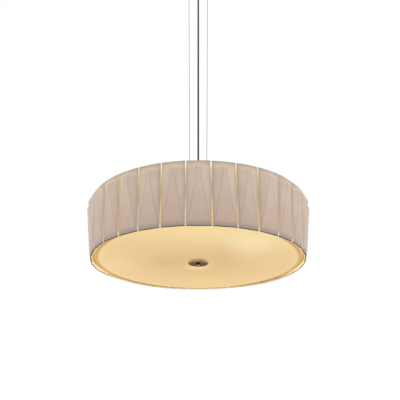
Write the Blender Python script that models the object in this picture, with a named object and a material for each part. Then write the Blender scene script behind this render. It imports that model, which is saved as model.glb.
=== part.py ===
"""Ceramic pendant light.

A short round shade of thirty faceted, slip-cast tiles hangs by hooks round a lit
opal drum. A shallow opal dish closes the drum from below and is held by a finial
on the central stem. Two steel cables and a cord carry the shade from a canopy.

The origin is the middle of the ceiling bracket's top face, +Z is up, and azimuths
turn about Z from the front of the shade, which faces -Y. Sizes are in metres.
"""

import math

import bmesh
import bpy
from mathutils import Matrix, Vector

# Fits
SEAT_GAP = 0.0003
RUNNING_GAP = 0.0004

# Ceiling bracket
BRACKET_LENGTH = 0.1120
BRACKET_WIDTH = 0.0240
BRACKET_THICKNESS = 0.0030
BRACKET_ROUND = 0.0060
BOSS_RADIUS = 0.0060
BOSS_LENGTH = 0.0100
BOSS_ROOF = 0.0010
SCREW_SLOT_OFFSET = 0.0450
SCREW_SLOT_RADIUS = 0.0023
SCREW_SLOT_LENGTH = 0.0080

# Canopy
CANOPY_RADIUS = 0.0625
CANOPY_HEIGHT = 0.0260
CANOPY_WALL = 0.0012
CANOPY_ROUND = 0.0080

# Terminal block
TERMINAL_WIDTH = 0.0300
TERMINAL_DEPTH = 0.0140
TERMINAL_HEIGHT = 0.0110
TERMINAL_BORE_RADIUS = 0.0022
TERMINAL_ROUND = 0.0010
TERMINAL_WAYS = 3

# Cable grippers and their release collars
GRIPPER_OFFSET = 0.0296
GRIPPER_RADIUS = 0.0055
GRIPPER_LENGTH = 0.0240
GRIPPER_NECK_RADIUS = 0.0030
GRIPPER_NOSE = 0.0030
GRIPPER_CHAMFER = 0.0008
RELEASE_RADIUS = 0.0030
RELEASE_HEAD_RADIUS = 0.0042
RELEASE_HEAD_LENGTH = 0.0015
RELEASE_PROUD = 0.0040
RELEASE_DEPTH = 0.0060
RELEASE_TRAVEL = 0.0020
RELEASE_BORE_DEPTH = 0.0040

# Suspension
SUSPENSION_LENGTH = 0.7300
CABLE_RADIUS = 0.0006
CABLE_END_CLEARANCE = 0.0005
CABLE_ENTRY = 0.0010
ANCHOR_OFFSET = 0.0231
ANCHOR_RADIUS = 0.0040
ANCHOR_HEIGHT = 0.0120
ANCHOR_BORE_DEPTH = 0.0060
ANCHOR_SHANK_RADIUS = 0.0020
ANCHOR_SHANK_LENGTH = 0.0060
ANCHOR_TAPER = 0.0030
CORD_RADIUS = 0.0025
CORD_END_CLEARANCE = 0.0006
CORD_ENTRY = 0.0015
CORD_TAIL = 0.0120
CORD_TAIL_CLEARANCE = 0.0008
CORD_GRIP_COLLAR_RADIUS = 0.0080
CORD_GRIP_COLLAR_LENGTH = 0.0040
CORD_GRIP_TIP_RADIUS = 0.0042
CORD_GRIP_NECK_RADIUS = 0.0056
CORD_GRIP_FLANGE_RADIUS = 0.0090
CORD_GRIP_FLANGE_THICKNESS = 0.0030
GLAND_RADIUS = 0.0080
GLAND_HEIGHT = 0.0120
GLAND_DOME = 0.0030
GLAND_THREAD_RADIUS = 0.0047
GLAND_THREAD_LENGTH = 0.0080

# Shade of tiles: the radius and the taper are those of the corners where two tiles meet
TILE_COUNT = 30
SHADE_RADIUS = 0.2930
SHADE_TAPER = 0.0051
TILE_HEIGHT = 0.1623
TILE_SPACE = 0.0030
TILE_WALL = 0.0045
TILE_EDGE_ROUND = 0.0008

# Relief of a tile: a ridge that stands out under the top edge and spreads into the foot
RIDGE_RISE = 0.0120
RIDGE_DROP = 0.0195
RIDGE_STRAIGHT = 0.0210
RIDGE_HALF_WIDTH = 0.0048
RIDGE_FOOT_RISE = 0.0015
TOP_EDGE_BOW = 0.0012
FOOT_BAND = 0.0095
FOOT_INSET = 0.0030
FOOT_TURN_IN = 0.0018

# Hook and bumper on the back of a tile
HOOK_WIDTH = 0.0220
HOOK_TOP_DROP = 0.0005
HOOK_LIP_WALL = 0.0045
HOOK_LIP_LENGTH = 0.0060
BUMPER_WIDTH = 0.0100
BUMPER_HEIGHT = 0.0100
BUMPER_RAISE = 0.0523
BUMPER_TAPER_SHARE = 0.6

# Opal drum inside the tiles, and the frame in it
DRUM_INSET = 0.0222
DRUM_WALL = 0.0020
DRUM_DROP = 0.0045
DRUM_RECESS = 0.0143
RING_WIDTH = 0.0100
RING_THICKNESS = 0.0040
LIP_THICKNESS = 0.0015
ROD_RADIUS = 0.0025
ROD_COUNT = 3
ARM_COUNT = 3
ARM_WIDTH = 0.0140
ARM_THICKNESS = 0.0030
ARM_LAP = 0.0070
HUB_RADIUS = 0.0360

# Lamp cluster: cup, holders and bulbs
CUP_RADIUS = 0.0280
CUP_HEIGHT = 0.0500
CUP_WALL = 0.0014
CUP_ROUND = 0.0060
HOLDER_COUNT = 3
HOLDER_DROP = 0.0320
HOLDER_NECK_RADIUS = 0.0060
HOLDER_NECK_LENGTH = 0.0080
HOLDER_RADIUS = 0.0190
HOLDER_SHOULDER = 0.0100
HOLDER_LENGTH = 0.0490
HOLDER_BORE_DEPTH = 0.0270
HOLDER_RIM = 0.0020
BULB_BASE_RADIUS = 0.0131
BULB_BASE_LENGTH = 0.0270
BULB_TIP_RADIUS = 0.0050
BULB_TIP_LENGTH = 0.0030
BULB_RADIUS = 0.0300
BULB_LENGTH = 0.1050

# Stem, dish round the drum's foot, and finial
STEM_RADIUS = 0.0048
STEM_NUT_RADIUS = 0.0080
STEM_NUT_HEIGHT = 0.0040
STEM_TOP_LENGTH = 0.0060
SEAT_COLLAR_RADIUS = 0.0100
SEAT_COLLAR_HEIGHT = 0.0030
STUD_RADIUS = 0.0030
DISH_CLEARANCE = 0.0048
DISH_WALL = 0.0035
DISH_ROUND = 0.0096
DISH_RIM_HEIGHT = 0.0220
DISH_CROWN = 0.0016
DISH_RAISE = 0.0034
FINIAL_RADIUS = 0.0270
FINIAL_NECK_RADIUS = 0.0228
FINIAL_THICKNESS = 0.0065
FINIAL_EDGE = 0.0010
KNOB_RADIUS = 0.0048
KNOB_LENGTH = 0.0076
KNOB_WAIST_RADIUS = 0.0040
KNOB_FLOOR = 0.0030

# Steps round the turned pieces and along their rounds, and angles in degrees
RING_STEPS = 2 * TILE_COUNT
CANOPY_STEPS = 32
CUP_STEPS = 24
SMALL_STEPS = 16
CABLE_STEPS = 8
ROUND_STEPS = 3
CORNER_STEPS = 2
ROUND_PROFILE = 0.5
SLOT_STEPS = 4
CUP_ROUND_STEPS = 2
BULB_ROUND_STEPS = 6
BULB_SHOULDER_ANGLE = -42.0
QUARTER = 90.0
CREASE_ANGLE = 30.0

# Azimuths that share the gaps between tiles
HALF_PITCH = math.pi / TILE_COUNT
ARM_AZIMUTH = 11 * HALF_PITCH
ROD_AZIMUTH = HALF_PITCH
BULB_AZIMUTH = ROD_AZIMUTH

# Sizes that follow the shade
BUMPER_DROP = TILE_HEIGHT - BUMPER_RAISE
DRUM_RADIUS = SHADE_RADIUS - DRUM_INSET
DRUM_HEIGHT = TILE_HEIGHT - DRUM_DROP - DRUM_RECESS
RING_OUTER_RADIUS = DRUM_RADIUS - DRUM_WALL - SEAT_GAP
RING_INNER_RADIUS = RING_OUTER_RADIUS - RING_WIDTH
DISH_RADIUS = DRUM_RADIUS + DISH_CLEARANCE

# Heights worked out from the top down
CANOPY_TOP_Z = -SEAT_GAP
CANOPY_FLOOR_Z = CANOPY_TOP_Z - CANOPY_HEIGHT
GRIPPER_TOP_Z = CANOPY_FLOOR_Z - SEAT_GAP
GRIPPER_BOTTOM_Z = GRIPPER_TOP_Z - GRIPPER_LENGTH
SWING_Z = GRIPPER_BOTTOM_Z - RELEASE_PROUD
SHADE_TOP_Z = SWING_Z - SUSPENSION_LENGTH
SHADE_BOTTOM_Z = SHADE_TOP_Z - TILE_HEIGHT
DRUM_TOP_Z = SHADE_TOP_Z - DRUM_DROP
DRUM_BOTTOM_Z = DRUM_TOP_Z - DRUM_HEIGHT
HUB_TOP_Z = DRUM_TOP_Z - RING_THICKNESS - SEAT_GAP
HUB_BOTTOM_Z = HUB_TOP_Z - ARM_THICKNESS
CUP_TOP_Z = HUB_BOTTOM_Z - SEAT_GAP
CUP_BOTTOM_Z = CUP_TOP_Z - CUP_HEIGHT
HOLDER_Z = CUP_TOP_Z - HOLDER_DROP
DISH_Z = SHADE_BOTTOM_Z + DISH_RAISE
FINIAL_TOP_Z = DISH_Z - SEAT_GAP
KNOB_TOP_Z = FINIAL_TOP_Z - FINIAL_THICKNESS - SEAT_GAP

FINISHES = {
    "glazed_tile": ((0.46, 0.37, 0.32), 0.0, 0.35),
    "opal_sheet": ((0.95, 0.86, 0.66), 0.0, 0.40),
    "opal_glass": ((0.95, 0.86, 0.66), 0.0, 0.25),
    "dark_bronze": ((0.10, 0.07, 0.05), 0.9, 0.35),
    "frame_paint": ((0.80, 0.76, 0.68), 0.0, 0.50),
    "steel_cable": ((0.55, 0.54, 0.51), 1.0, 0.30),
    "satin_nickel": ((0.60, 0.58, 0.54), 1.0, 0.28),
    "cord_jacket": ((0.09, 0.06, 0.04), 0.0, 0.60),
    "holder_plastic": ((0.03, 0.03, 0.03), 0.0, 0.45),
    "bulb_glass": ((0.96, 0.93, 0.85), 0.0, 0.30),
    "terminal_plastic": ((0.82, 0.80, 0.74), 0.0, 0.50),
}


def clear_scene():
    """Start from an empty scene."""
    for leftover in list(bpy.data.objects):
        bpy.data.objects.remove(leftover, do_unlink=True)


def finish(name):
    """One Principled material for each finish, made the first time it is asked for."""
    if name in bpy.data.materials:
        return bpy.data.materials[name]
    colour, metallic, roughness = FINISHES[name]
    material = bpy.data.materials.new(name)
    material.use_nodes = True
    shader = material.node_tree.nodes["Principled BSDF"]
    shader.inputs["Base Color"].default_value = (*colour, 1.0)
    shader.inputs["Metallic"].default_value = metallic
    shader.inputs["Roughness"].default_value = roughness
    material.diffuse_color = (*colour, 1.0)
    return material


def mesh_object(name, shape):
    """Turn a finished bmesh into an object in the scene."""
    bmesh.ops.recalc_face_normals(shape, faces=shape.faces)
    mesh = bpy.data.meshes.new(name)
    shape.to_mesh(mesh)
    shape.free()
    piece = bpy.data.objects.new(name, mesh)
    bpy.context.collection.objects.link(piece)
    return piece


def place(piece, material, parent=None, at=(0.0, 0.0, 0.0), turn=(0.0, 0.0, 0.0)):
    """Give a piece its finish, its soft shading and its place; at is in world space."""
    piece.data.materials.clear()
    piece.data.materials.append(finish(material))
    piece.data.shade_smooth()
    piece.data.set_sharp_from_angle(angle=math.radians(CREASE_ANGLE))
    piece.parent = parent
    piece.location = Vector(at) - (parent.location if parent else Vector())
    piece.rotation_euler = turn
    return piece


def turned(name, profile, steps, closed=True):
    """Turn a profile of (radius, height) points about Z.

    A closed profile makes a ring or a tube. An open one starts and ends on the axis.
    """
    shape = bmesh.new()
    points = [shape.verts.new((radius, 0.0, height)) for radius, height in profile]
    edges = [shape.edges.new(pair) for pair in zip(points, points[1:])]
    if closed:
        edges.append(shape.edges.new((points[-1], points[0])))
    bmesh.ops.spin(
        shape,
        geom=points + edges,
        cent=(0.0, 0.0, 0.0),
        axis=(0.0, 0.0, 1.0),
        angle=math.tau,
        steps=steps,
        use_merge=True,
    )
    bmesh.ops.remove_doubles(shape, verts=shape.verts, dist=SEAT_GAP / 100)
    return mesh_object(name, shape)


def prism(outline, low, high):
    """A bmesh of an outline of (x, y) points between two heights."""
    shape = bmesh.new()
    points = [shape.verts.new((x, y, low)) for x, y in outline]
    floor = shape.faces.new(points)
    raised = bmesh.ops.extrude_face_region(shape, geom=[floor])["geom"]
    lifted = [item for item in raised if isinstance(item, bmesh.types.BMVert)]
    bmesh.ops.translate(shape, verts=lifted, vec=(0.0, 0.0, high - low))
    return shape


def circle(radius, steps, centre=(0.0, 0.0)):
    """Points round a circle."""
    angles = [math.tau * step / steps for step in range(steps)]
    return [(centre[0] + radius * math.cos(a), centre[1] + radius * math.sin(a)) for a in angles]


def rod(name, radius, low, high, steps, centre=(0.0, 0.0)):
    """A straight round bar between two heights."""
    return mesh_object(name, prism(circle(radius, steps, centre), low, high))


def arc(centre_radius, centre_height, radius, start, end, steps):
    """Profile points along a round from one angle to another, in degrees."""
    angles = [math.radians(start + (end - start) * step / steps) for step in range(steps + 1)]
    return [(centre_radius + radius * math.cos(a), centre_height + radius * math.sin(a)) for a in angles]


def combine(piece, others, operation):
    """Join others to a piece, or cut them out of it, and apply the result."""
    for other in others:
        cut = piece.modifiers.new(operation.lower(), "BOOLEAN")
        cut.operation = operation
        cut.object = other
        cut.solver = "EXACT"
    bpy.context.view_layer.update()
    evaluated = piece.evaluated_get(bpy.context.evaluated_depsgraph_get())
    result = bpy.data.meshes.new_from_object(evaluated)
    piece.modifiers.clear()
    piece.data = result
    result.name = piece.name
    for other in others:
        bpy.data.objects.remove(other, do_unlink=True)
    return piece


def azimuth_point(azimuth, radius):
    """The place at a radius and an azimuth, measured from -Y towards +X."""
    return (radius * math.sin(azimuth), -radius * math.cos(azimuth))


def tile_plane(drop):
    """Distance from the shade's axis to a tile's flat outer plane, at a drop below its top."""
    return (SHADE_RADIUS - SHADE_TAPER * drop / TILE_HEIGHT) * math.cos(HALF_PITCH)


def tile_half_width(drop):
    """Half the width of a tile at a drop below its top."""
    return (SHADE_RADIUS - SHADE_TAPER * drop / TILE_HEIGHT) * math.sin(HALF_PITCH) - TILE_SPACE / 2


def ridge_rise(drop):
    """How far the ridge stands out of the plane, at a drop below the tile's top."""
    if drop < RIDGE_DROP:
        return TOP_EDGE_BOW + (RIDGE_RISE - TOP_EDGE_BOW) * drop / RIDGE_DROP
    foot = TILE_HEIGHT - FOOT_BAND
    return RIDGE_RISE + (RIDGE_FOOT_RISE - RIDGE_RISE) * (drop - RIDGE_DROP) / (foot - RIDGE_DROP)


def tile_rows():
    """Rows of a tile's face: drop, side rise, ridge half width and ridge rise."""
    foot = TILE_HEIGHT - FOOT_BAND
    straight_end = RIDGE_DROP + RIDGE_STRAIGHT
    foot_half_width = tile_half_width(foot) - FOOT_INSET
    return [
        (0.0, 0.0, RIDGE_HALF_WIDTH, TOP_EDGE_BOW),
        (RIDGE_DROP, 0.0, RIDGE_HALF_WIDTH, RIDGE_RISE),
        (straight_end, 0.0, RIDGE_HALF_WIDTH, ridge_rise(straight_end)),
        (foot, 0.0, foot_half_width, RIDGE_FOOT_RISE),
        (TILE_HEIGHT, -FOOT_TURN_IN, foot_half_width, -FOOT_TURN_IN),
    ]


def tile_shell():
    """The tile's faceted wall: the same relief on the face and, a wall deeper, on the back."""
    shape = bmesh.new()
    skins = []
    for depth in (0.0, TILE_WALL):
        grid = []
        for drop, side, half_ridge, rise in tile_rows():
            half = tile_half_width(drop)
            plane = tile_plane(drop) - depth
            row = [(-half, side), (-half_ridge, rise), (half_ridge, rise), (half, side)]
            grid.append([shape.verts.new((x, -(plane + out), -drop)) for x, out in row])
        skins.append(grid)
    face, back = skins
    rows = len(face)
    columns = len(face[0])
    for row in range(rows - 1):
        for column in range(columns - 1):
            for grid in skins:
                shape.faces.new((grid[row][column], grid[row][column + 1],
                                 grid[row + 1][column + 1], grid[row + 1][column]))
        for column in (0, columns - 1):
            shape.faces.new((face[row][column], face[row + 1][column],
                             back[row + 1][column], back[row][column]))
    for row in (0, rows - 1):
        for column in range(columns - 1):
            shape.faces.new((face[row][column], face[row][column + 1],
                             back[row][column + 1], back[row][column]))
    border = [edge for edge in shape.edges if on_tile_border(edge, face)]
    bmesh.ops.recalc_face_normals(shape, faces=shape.faces)
    bmesh.ops.bevel(shape, geom=border, offset=TILE_EDGE_ROUND, segments=1, affect="EDGES")
    return mesh_object("tile_shell", shape)


def on_tile_border(edge, face):
    """Whether an edge runs along the outside of a tile's face."""
    rim = face[0] + face[-1] + [row[0] for row in face] + [row[-1] for row in face]
    if not all(vertex in rim for vertex in edge.verts):
        return False
    first, second = edge.verts
    along_side = any({first, second} == {upper[c], lower[c]}
                     for upper, lower in zip(face, face[1:]) for c in (0, -1))
    along_end = any({first, second} == {row[c], row[c + 1]}
                    for row in (face[0], face[-1]) for c in range(len(row) - 1))
    return along_side or along_end


def side_prism(outline, width):
    """A bmesh of an outline of (y, z) points, as wide as given along X."""
    shape = prism(outline, -width / 2, width / 2)
    bmesh.ops.transform(shape, matrix=Matrix(((0, 0, 1, 0), (1, 0, 0, 0), (0, 1, 0, 0), (0, 0, 0, 1))),
                        verts=shape.verts)
    return shape


def tile_hook():
    """Hook that reaches inwards over the drum and the top ring, and drops behind the ring."""
    seat_z = -(DRUM_DROP - SEAT_GAP)
    top_z = -HOOK_TOP_DROP
    root_y = -tile_plane(-seat_z)
    lip_front_y = -(RING_INNER_RADIUS * math.cos(HALF_PITCH) - RUNNING_GAP)
    lip_back_y = lip_front_y + HOOK_LIP_WALL
    lip_z = seat_z - HOOK_LIP_LENGTH
    outline = [(root_y, top_z), (lip_back_y, top_z), (lip_back_y, lip_z),
               (lip_front_y, lip_z), (lip_front_y, seat_z), (root_y, seat_z)]
    return mesh_object("tile_hook", side_prism(outline, HOOK_WIDTH))


def tile_bumper():
    """Stub that stands the tile off the drum, low on its back."""
    high = -(BUMPER_DROP - BUMPER_HEIGHT / 2)
    low = high - BUMPER_HEIGHT
    tip_high = -(BUMPER_DROP - BUMPER_HEIGHT * BUMPER_TAPER_SHARE / 2)
    tip_low = tip_high - BUMPER_HEIGHT * BUMPER_TAPER_SHARE
    root_y = -(tile_plane(BUMPER_DROP) + ridge_rise(BUMPER_DROP) - TILE_WALL / 2)
    tip_y = -(DRUM_RADIUS + SEAT_GAP)
    outline = [(root_y, high), (tip_y, tip_high), (tip_y, tip_low), (root_y, low)]
    return mesh_object("tile_bumper", side_prism(outline, BUMPER_WIDTH))


def add_tiles(pendant):
    """One tile, copied round the shade."""
    pattern = combine(tile_shell(), [tile_hook(), tile_bumper()], "UNION")
    for number in range(TILE_COUNT):
        tile = bpy.data.objects.new(f"tile_{number + 1:02d}", pattern.data.copy())
        bpy.context.collection.objects.link(tile)
        place(tile, "glazed_tile", pendant, (0.0, 0.0, SHADE_TOP_Z), (0.0, 0.0, 2 * HALF_PITCH * number))
    bpy.data.objects.remove(pattern, do_unlink=True)


def rectangle(width, depth):
    """Corners of a rectangle about the axis."""
    x = width / 2
    y = depth / 2
    return [(-x, -y), (x, -y), (x, y), (-x, y)]


def rounded_block(name, width, depth, low, high, corner):
    """A flat block about the axis with rounded upright edges."""
    shape = prism(rectangle(width, depth), low, high)
    uprights = [edge for edge in shape.edges if edge.verts[0].co.xy == edge.verts[1].co.xy]
    bmesh.ops.bevel(shape, geom=uprights, offset=corner, segments=CORNER_STEPS, profile=ROUND_PROFILE,
                    affect="EDGES")
    return mesh_object(name, shape)


def slot_outline(length, radius, centre_x):
    """Points round a slot along X."""
    points = []
    for side, start in ((1, -QUARTER), (-1, QUARTER)):
        end = centre_x + side * (length / 2 - radius)
        points += arc(end, 0.0, radius, start, start + 2 * QUARTER, SLOT_STEPS)
    return points


def add_ceiling_bracket():
    """Bar that is screwed to the ceiling box, with two threaded bosses for the grippers."""
    bracket = rounded_block("ceiling_bracket", BRACKET_LENGTH, BRACKET_WIDTH, -BRACKET_THICKNESS, 0.0,
                            BRACKET_ROUND)
    boss_low = -BRACKET_THICKNESS - BOSS_LENGTH
    bosses = []
    cuts = []
    for side in (-1, 1):
        centre = (side * GRIPPER_OFFSET, 0.0)
        bosses.append(rod("boss", BOSS_RADIUS, boss_low, -BRACKET_THICKNESS / 2, SMALL_STEPS, centre))
        cuts.append(rod("thread", GRIPPER_NECK_RADIUS + SEAT_GAP, boss_low - BOSS_LENGTH,
                        -BRACKET_THICKNESS - BOSS_ROOF, SMALL_STEPS, centre))
        outline = slot_outline(SCREW_SLOT_LENGTH, SCREW_SLOT_RADIUS, side * SCREW_SLOT_OFFSET)
        cuts.append(mesh_object("screw_slot", prism(outline, -2 * BRACKET_THICKNESS, BRACKET_THICKNESS)))
    combine(bracket, bosses, "UNION")
    combine(bracket, cuts, "DIFFERENCE")
    place(bracket, "frame_paint")


def add_canopy():
    """Spun cup that hides the bracket, with a hole for each gripper and for the cord grip."""
    inner_round = CANOPY_ROUND - CANOPY_WALL
    centre_radius = CANOPY_RADIUS - CANOPY_ROUND
    centre_z = CANOPY_FLOOR_Z + CANOPY_ROUND
    cord_hole = CORD_GRIP_NECK_RADIUS + SEAT_GAP
    outside = arc(centre_radius, centre_z, CANOPY_ROUND, -QUARTER, 0.0, ROUND_STEPS)
    inside = arc(centre_radius, centre_z, inner_round, 0.0, -QUARTER, ROUND_STEPS)
    rim = [(CANOPY_RADIUS, CANOPY_TOP_Z), (CANOPY_RADIUS - CANOPY_WALL, CANOPY_TOP_Z)]
    floor_top = CANOPY_FLOOR_Z + CANOPY_WALL
    profile = [(cord_hole, CANOPY_FLOOR_Z)] + outside + rim + inside + [(cord_hole, floor_top)]
    canopy = turned("canopy", profile, CANOPY_STEPS)
    holes = [rod("gripper_hole", GRIPPER_NECK_RADIUS + SEAT_GAP, CANOPY_FLOOR_Z - CANOPY_WALL,
                 floor_top + CANOPY_WALL, SMALL_STEPS, (side * GRIPPER_OFFSET, 0.0)) for side in (-1, 1)]
    combine(canopy, holes, "DIFFERENCE")
    place(canopy, "dark_bronze")


def add_terminal_block():
    """Three-way terminal block under the bracket, over the cord."""
    top = -BRACKET_THICKNESS - SEAT_GAP
    low = top - TERMINAL_HEIGHT
    block = rounded_block("terminal_block", TERMINAL_WIDTH, TERMINAL_DEPTH, low, top, TERMINAL_ROUND)
    pitch = TERMINAL_WIDTH / TERMINAL_WAYS
    ways = []
    for way in range(TERMINAL_WAYS):
        centre = ((way - (TERMINAL_WAYS - 1) / 2) * pitch, 0.0)
        ways.append(rod("way", TERMINAL_BORE_RADIUS, low - TERMINAL_HEIGHT, top + TERMINAL_HEIGHT,
                        SMALL_STEPS, centre))
    combine(block, ways, "DIFFERENCE")
    place(block, "terminal_plastic")


def add_gripper(side_name, side):
    """Cable gripper under the canopy, with the sprung collar that frees the cable."""
    neck_top = -BRACKET_THICKNESS - BOSS_ROOF - SEAT_GAP
    bore = RELEASE_RADIUS + RUNNING_GAP
    bore_top = GRIPPER_BOTTOM_Z + RELEASE_DEPTH + RELEASE_TRAVEL + SEAT_GAP
    body = [
        (0.0, neck_top),
        (GRIPPER_NECK_RADIUS, neck_top),
        (GRIPPER_NECK_RADIUS, GRIPPER_TOP_Z),
        (GRIPPER_RADIUS - GRIPPER_CHAMFER, GRIPPER_TOP_Z),
        (GRIPPER_RADIUS, GRIPPER_TOP_Z - GRIPPER_CHAMFER),
        (GRIPPER_RADIUS, GRIPPER_BOTTOM_Z + GRIPPER_NOSE),
        (RELEASE_HEAD_RADIUS, GRIPPER_BOTTOM_Z),
        (bore, GRIPPER_BOTTOM_Z),
        (bore, bore_top),
        (0.0, bore_top),
    ]
    at = (side * GRIPPER_OFFSET, 0.0, 0.0)
    place(turned(f"cable_gripper_{side_name}", body, SMALL_STEPS, closed=False), "satin_nickel", None, at)
    collar_top = RELEASE_PROUD + RELEASE_DEPTH
    mouth = CABLE_RADIUS + CABLE_END_CLEARANCE
    collar = [
        (0.0, collar_top),
        (RELEASE_RADIUS, collar_top),
        (RELEASE_RADIUS, RELEASE_HEAD_LENGTH),
        (RELEASE_HEAD_RADIUS, RELEASE_HEAD_LENGTH),
        (RELEASE_HEAD_RADIUS, 0.0),
        (mouth, 0.0),
        (mouth, RELEASE_BORE_DEPTH),
        (0.0, RELEASE_BORE_DEPTH),
    ]
    at = (side * GRIPPER_OFFSET, 0.0, SWING_Z)
    place(turned(f"release_collar_{side_name}", collar, SMALL_STEPS, closed=False), "satin_nickel", None, at)


def add_canopy_cord_grip():
    """Tapered strain relief that the cord leaves the canopy by."""
    bore = CORD_RADIUS + CORD_END_CLEARANCE
    floor_top = CANOPY_FLOOR_Z + CANOPY_WALL
    collar_z = CANOPY_FLOOR_Z - SEAT_GAP
    profile = [
        (bore, floor_top + SEAT_GAP + CORD_GRIP_FLANGE_THICKNESS),
        (CORD_GRIP_FLANGE_RADIUS, floor_top + SEAT_GAP + CORD_GRIP_FLANGE_THICKNESS),
        (CORD_GRIP_FLANGE_RADIUS, floor_top + SEAT_GAP),
        (CORD_GRIP_NECK_RADIUS, floor_top + SEAT_GAP),
        (CORD_GRIP_NECK_RADIUS, collar_z),
        (CORD_GRIP_COLLAR_RADIUS, collar_z),
        (CORD_GRIP_COLLAR_RADIUS, collar_z - CORD_GRIP_COLLAR_LENGTH),
        (CORD_GRIP_TIP_RADIUS, SWING_Z),
        (bore, SWING_Z),
    ]
    place(turned("canopy_cord_grip", profile, SMALL_STEPS), "holder_plastic")


def strand(name, route, radius):
    """A cable or cord along a route of points, as a bevelled curve turned into a mesh."""
    curve = bpy.data.curves.new(name, "CURVE")
    curve.dimensions = "3D"
    curve.bevel_depth = radius
    curve.bevel_resolution = 2
    curve.use_fill_caps = True
    spline = curve.splines.new("POLY")
    spline.points.add(len(route) - 1)
    for point, place_at in zip(spline.points, route):
        point.co = (*place_at, 1.0)
    strung = bpy.data.objects.new(name, curve)
    bpy.context.collection.objects.link(strung)
    mesh = bpy.data.meshes.new_from_object(strung)
    bpy.data.objects.remove(strung, do_unlink=True)
    piece = bpy.data.objects.new(name, mesh)
    bpy.context.collection.objects.link(piece)
    return piece


def add_cord_tail():
    """The cord's fixed end, from inside the grip up to the terminal block."""
    start_z = SWING_Z + CORD_ENTRY + CORD_TAIL_CLEARANCE
    end_z = -BRACKET_THICKNESS - SEAT_GAP - TERMINAL_HEIGHT - SEAT_GAP
    tail = strand("cord_tail", [(0.0, 0.0, start_z), (0.0, 0.0, end_z)], CORD_RADIUS)
    place(tail, "cord_jacket")


def add_cord():
    """The hanging cord; its origin is on the swing axis, and it carries all that hangs with it."""
    cord_foot = HUB_BOTTOM_Z - CORD_TAIL - SWING_Z
    cord = strand("supply_cord", [(0.0, 0.0, CORD_ENTRY), (0.0, 0.0, cord_foot)], CORD_RADIUS)
    return place(cord, "cord_jacket", None, (0.0, 0.0, SWING_Z))


def add_cables(pendant):
    """Two steel cables from the swing axis down to their anchors on the hub."""
    anchor_top = HUB_TOP_Z + SEAT_GAP + ANCHOR_HEIGHT
    cable_foot_z = anchor_top - ANCHOR_BORE_DEPTH + SEAT_GAP
    for side_name, side in (("left", -1), ("right", 1)):
        top = (side * GRIPPER_OFFSET, 0.0, CABLE_ENTRY)
        foot = (side * ANCHOR_OFFSET, 0.0, cable_foot_z - SWING_Z)
        cable = strand(f"suspension_cable_{side_name}", [top, foot], CABLE_RADIUS)
        place(cable, "steel_cable", pendant, (0.0, 0.0, SWING_Z))
        add_cable_anchor(pendant, side_name, side)


def add_cable_anchor(pendant, side_name, side):
    """Screwed socket on the hub that holds a cable's foot."""
    base = SEAT_GAP
    top = base + ANCHOR_HEIGHT
    bore = CABLE_RADIUS + SEAT_GAP
    shank_end = -ARM_THICKNESS - ANCHOR_SHANK_LENGTH
    profile = [
        (0.0, shank_end),
        (ANCHOR_SHANK_RADIUS, shank_end),
        (ANCHOR_SHANK_RADIUS, base),
        (ANCHOR_RADIUS, base),
        (ANCHOR_RADIUS, top - ANCHOR_TAPER),
        (2 * bore, top),
        (bore, top),
        (bore, top - ANCHOR_BORE_DEPTH),
        (0.0, top - ANCHOR_BORE_DEPTH),
    ]
    anchor = turned(f"cable_anchor_{side_name}", profile, SMALL_STEPS, closed=False)
    place(anchor, "satin_nickel", pendant, (side * ANCHOR_OFFSET, 0.0, HUB_TOP_Z))


def spider_outline():
    """Round hub with a straight arm at each arm azimuth, as one outline."""
    half = ARM_WIDTH / 2
    spread = math.asin(half / HUB_RADIUS)
    reach = RING_INNER_RADIUS + ARM_LAP
    share = math.tau / ARM_COUNT
    points = []
    for number in range(ARM_COUNT):
        azimuth = ARM_AZIMUTH + share * number
        out_x, out_y = azimuth_point(azimuth, 1.0)
        for side in (-1, 1):
            points.append((reach * out_x - side * half * out_y, reach * out_y + side * half * out_x))
        steps = CUP_STEPS // ARM_COUNT
        for step in range(steps + 1):
            turn = azimuth + spread + (share - 2 * spread) * step / steps
            points.append(azimuth_point(turn, HUB_RADIUS))
    return points


def add_spider(pendant):
    """Flat spider that carries the top ring on its arms' ends."""
    spider = mesh_object("spider", prism(spider_outline(), -ARM_THICKNESS, 0.0))
    low = -2 * ARM_THICKNESS
    holes = [rod("gland_hole", GLAND_THREAD_RADIUS + SEAT_GAP, low, ARM_THICKNESS, SMALL_STEPS)]
    for side in (-1, 1):
        holes.append(rod("anchor_hole", ANCHOR_SHANK_RADIUS + SEAT_GAP, low, ARM_THICKNESS, SMALL_STEPS,
                         (side * ANCHOR_OFFSET, 0.0)))
    combine(spider, holes, "DIFFERENCE")
    place(spider, "frame_paint", pendant, (0.0, 0.0, HUB_TOP_Z))


def add_cord_gland(pendant):
    """Gland that clamps the cord at the hub."""
    bore = CORD_RADIUS + SEAT_GAP
    base = SEAT_GAP
    top = base + GLAND_HEIGHT
    foot = -ARM_THICKNESS - GLAND_THREAD_LENGTH
    profile = [
        (bore, foot),
        (GLAND_THREAD_RADIUS, foot),
        (GLAND_THREAD_RADIUS, base),
        (GLAND_RADIUS, base),
        (GLAND_RADIUS, top - GLAND_DOME),
        (GLAND_THREAD_RADIUS, top),
        (bore, top),
    ]
    place(turned("hub_cord_gland", profile, SMALL_STEPS), "dark_bronze", pendant, (0.0, 0.0, HUB_TOP_Z))


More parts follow.
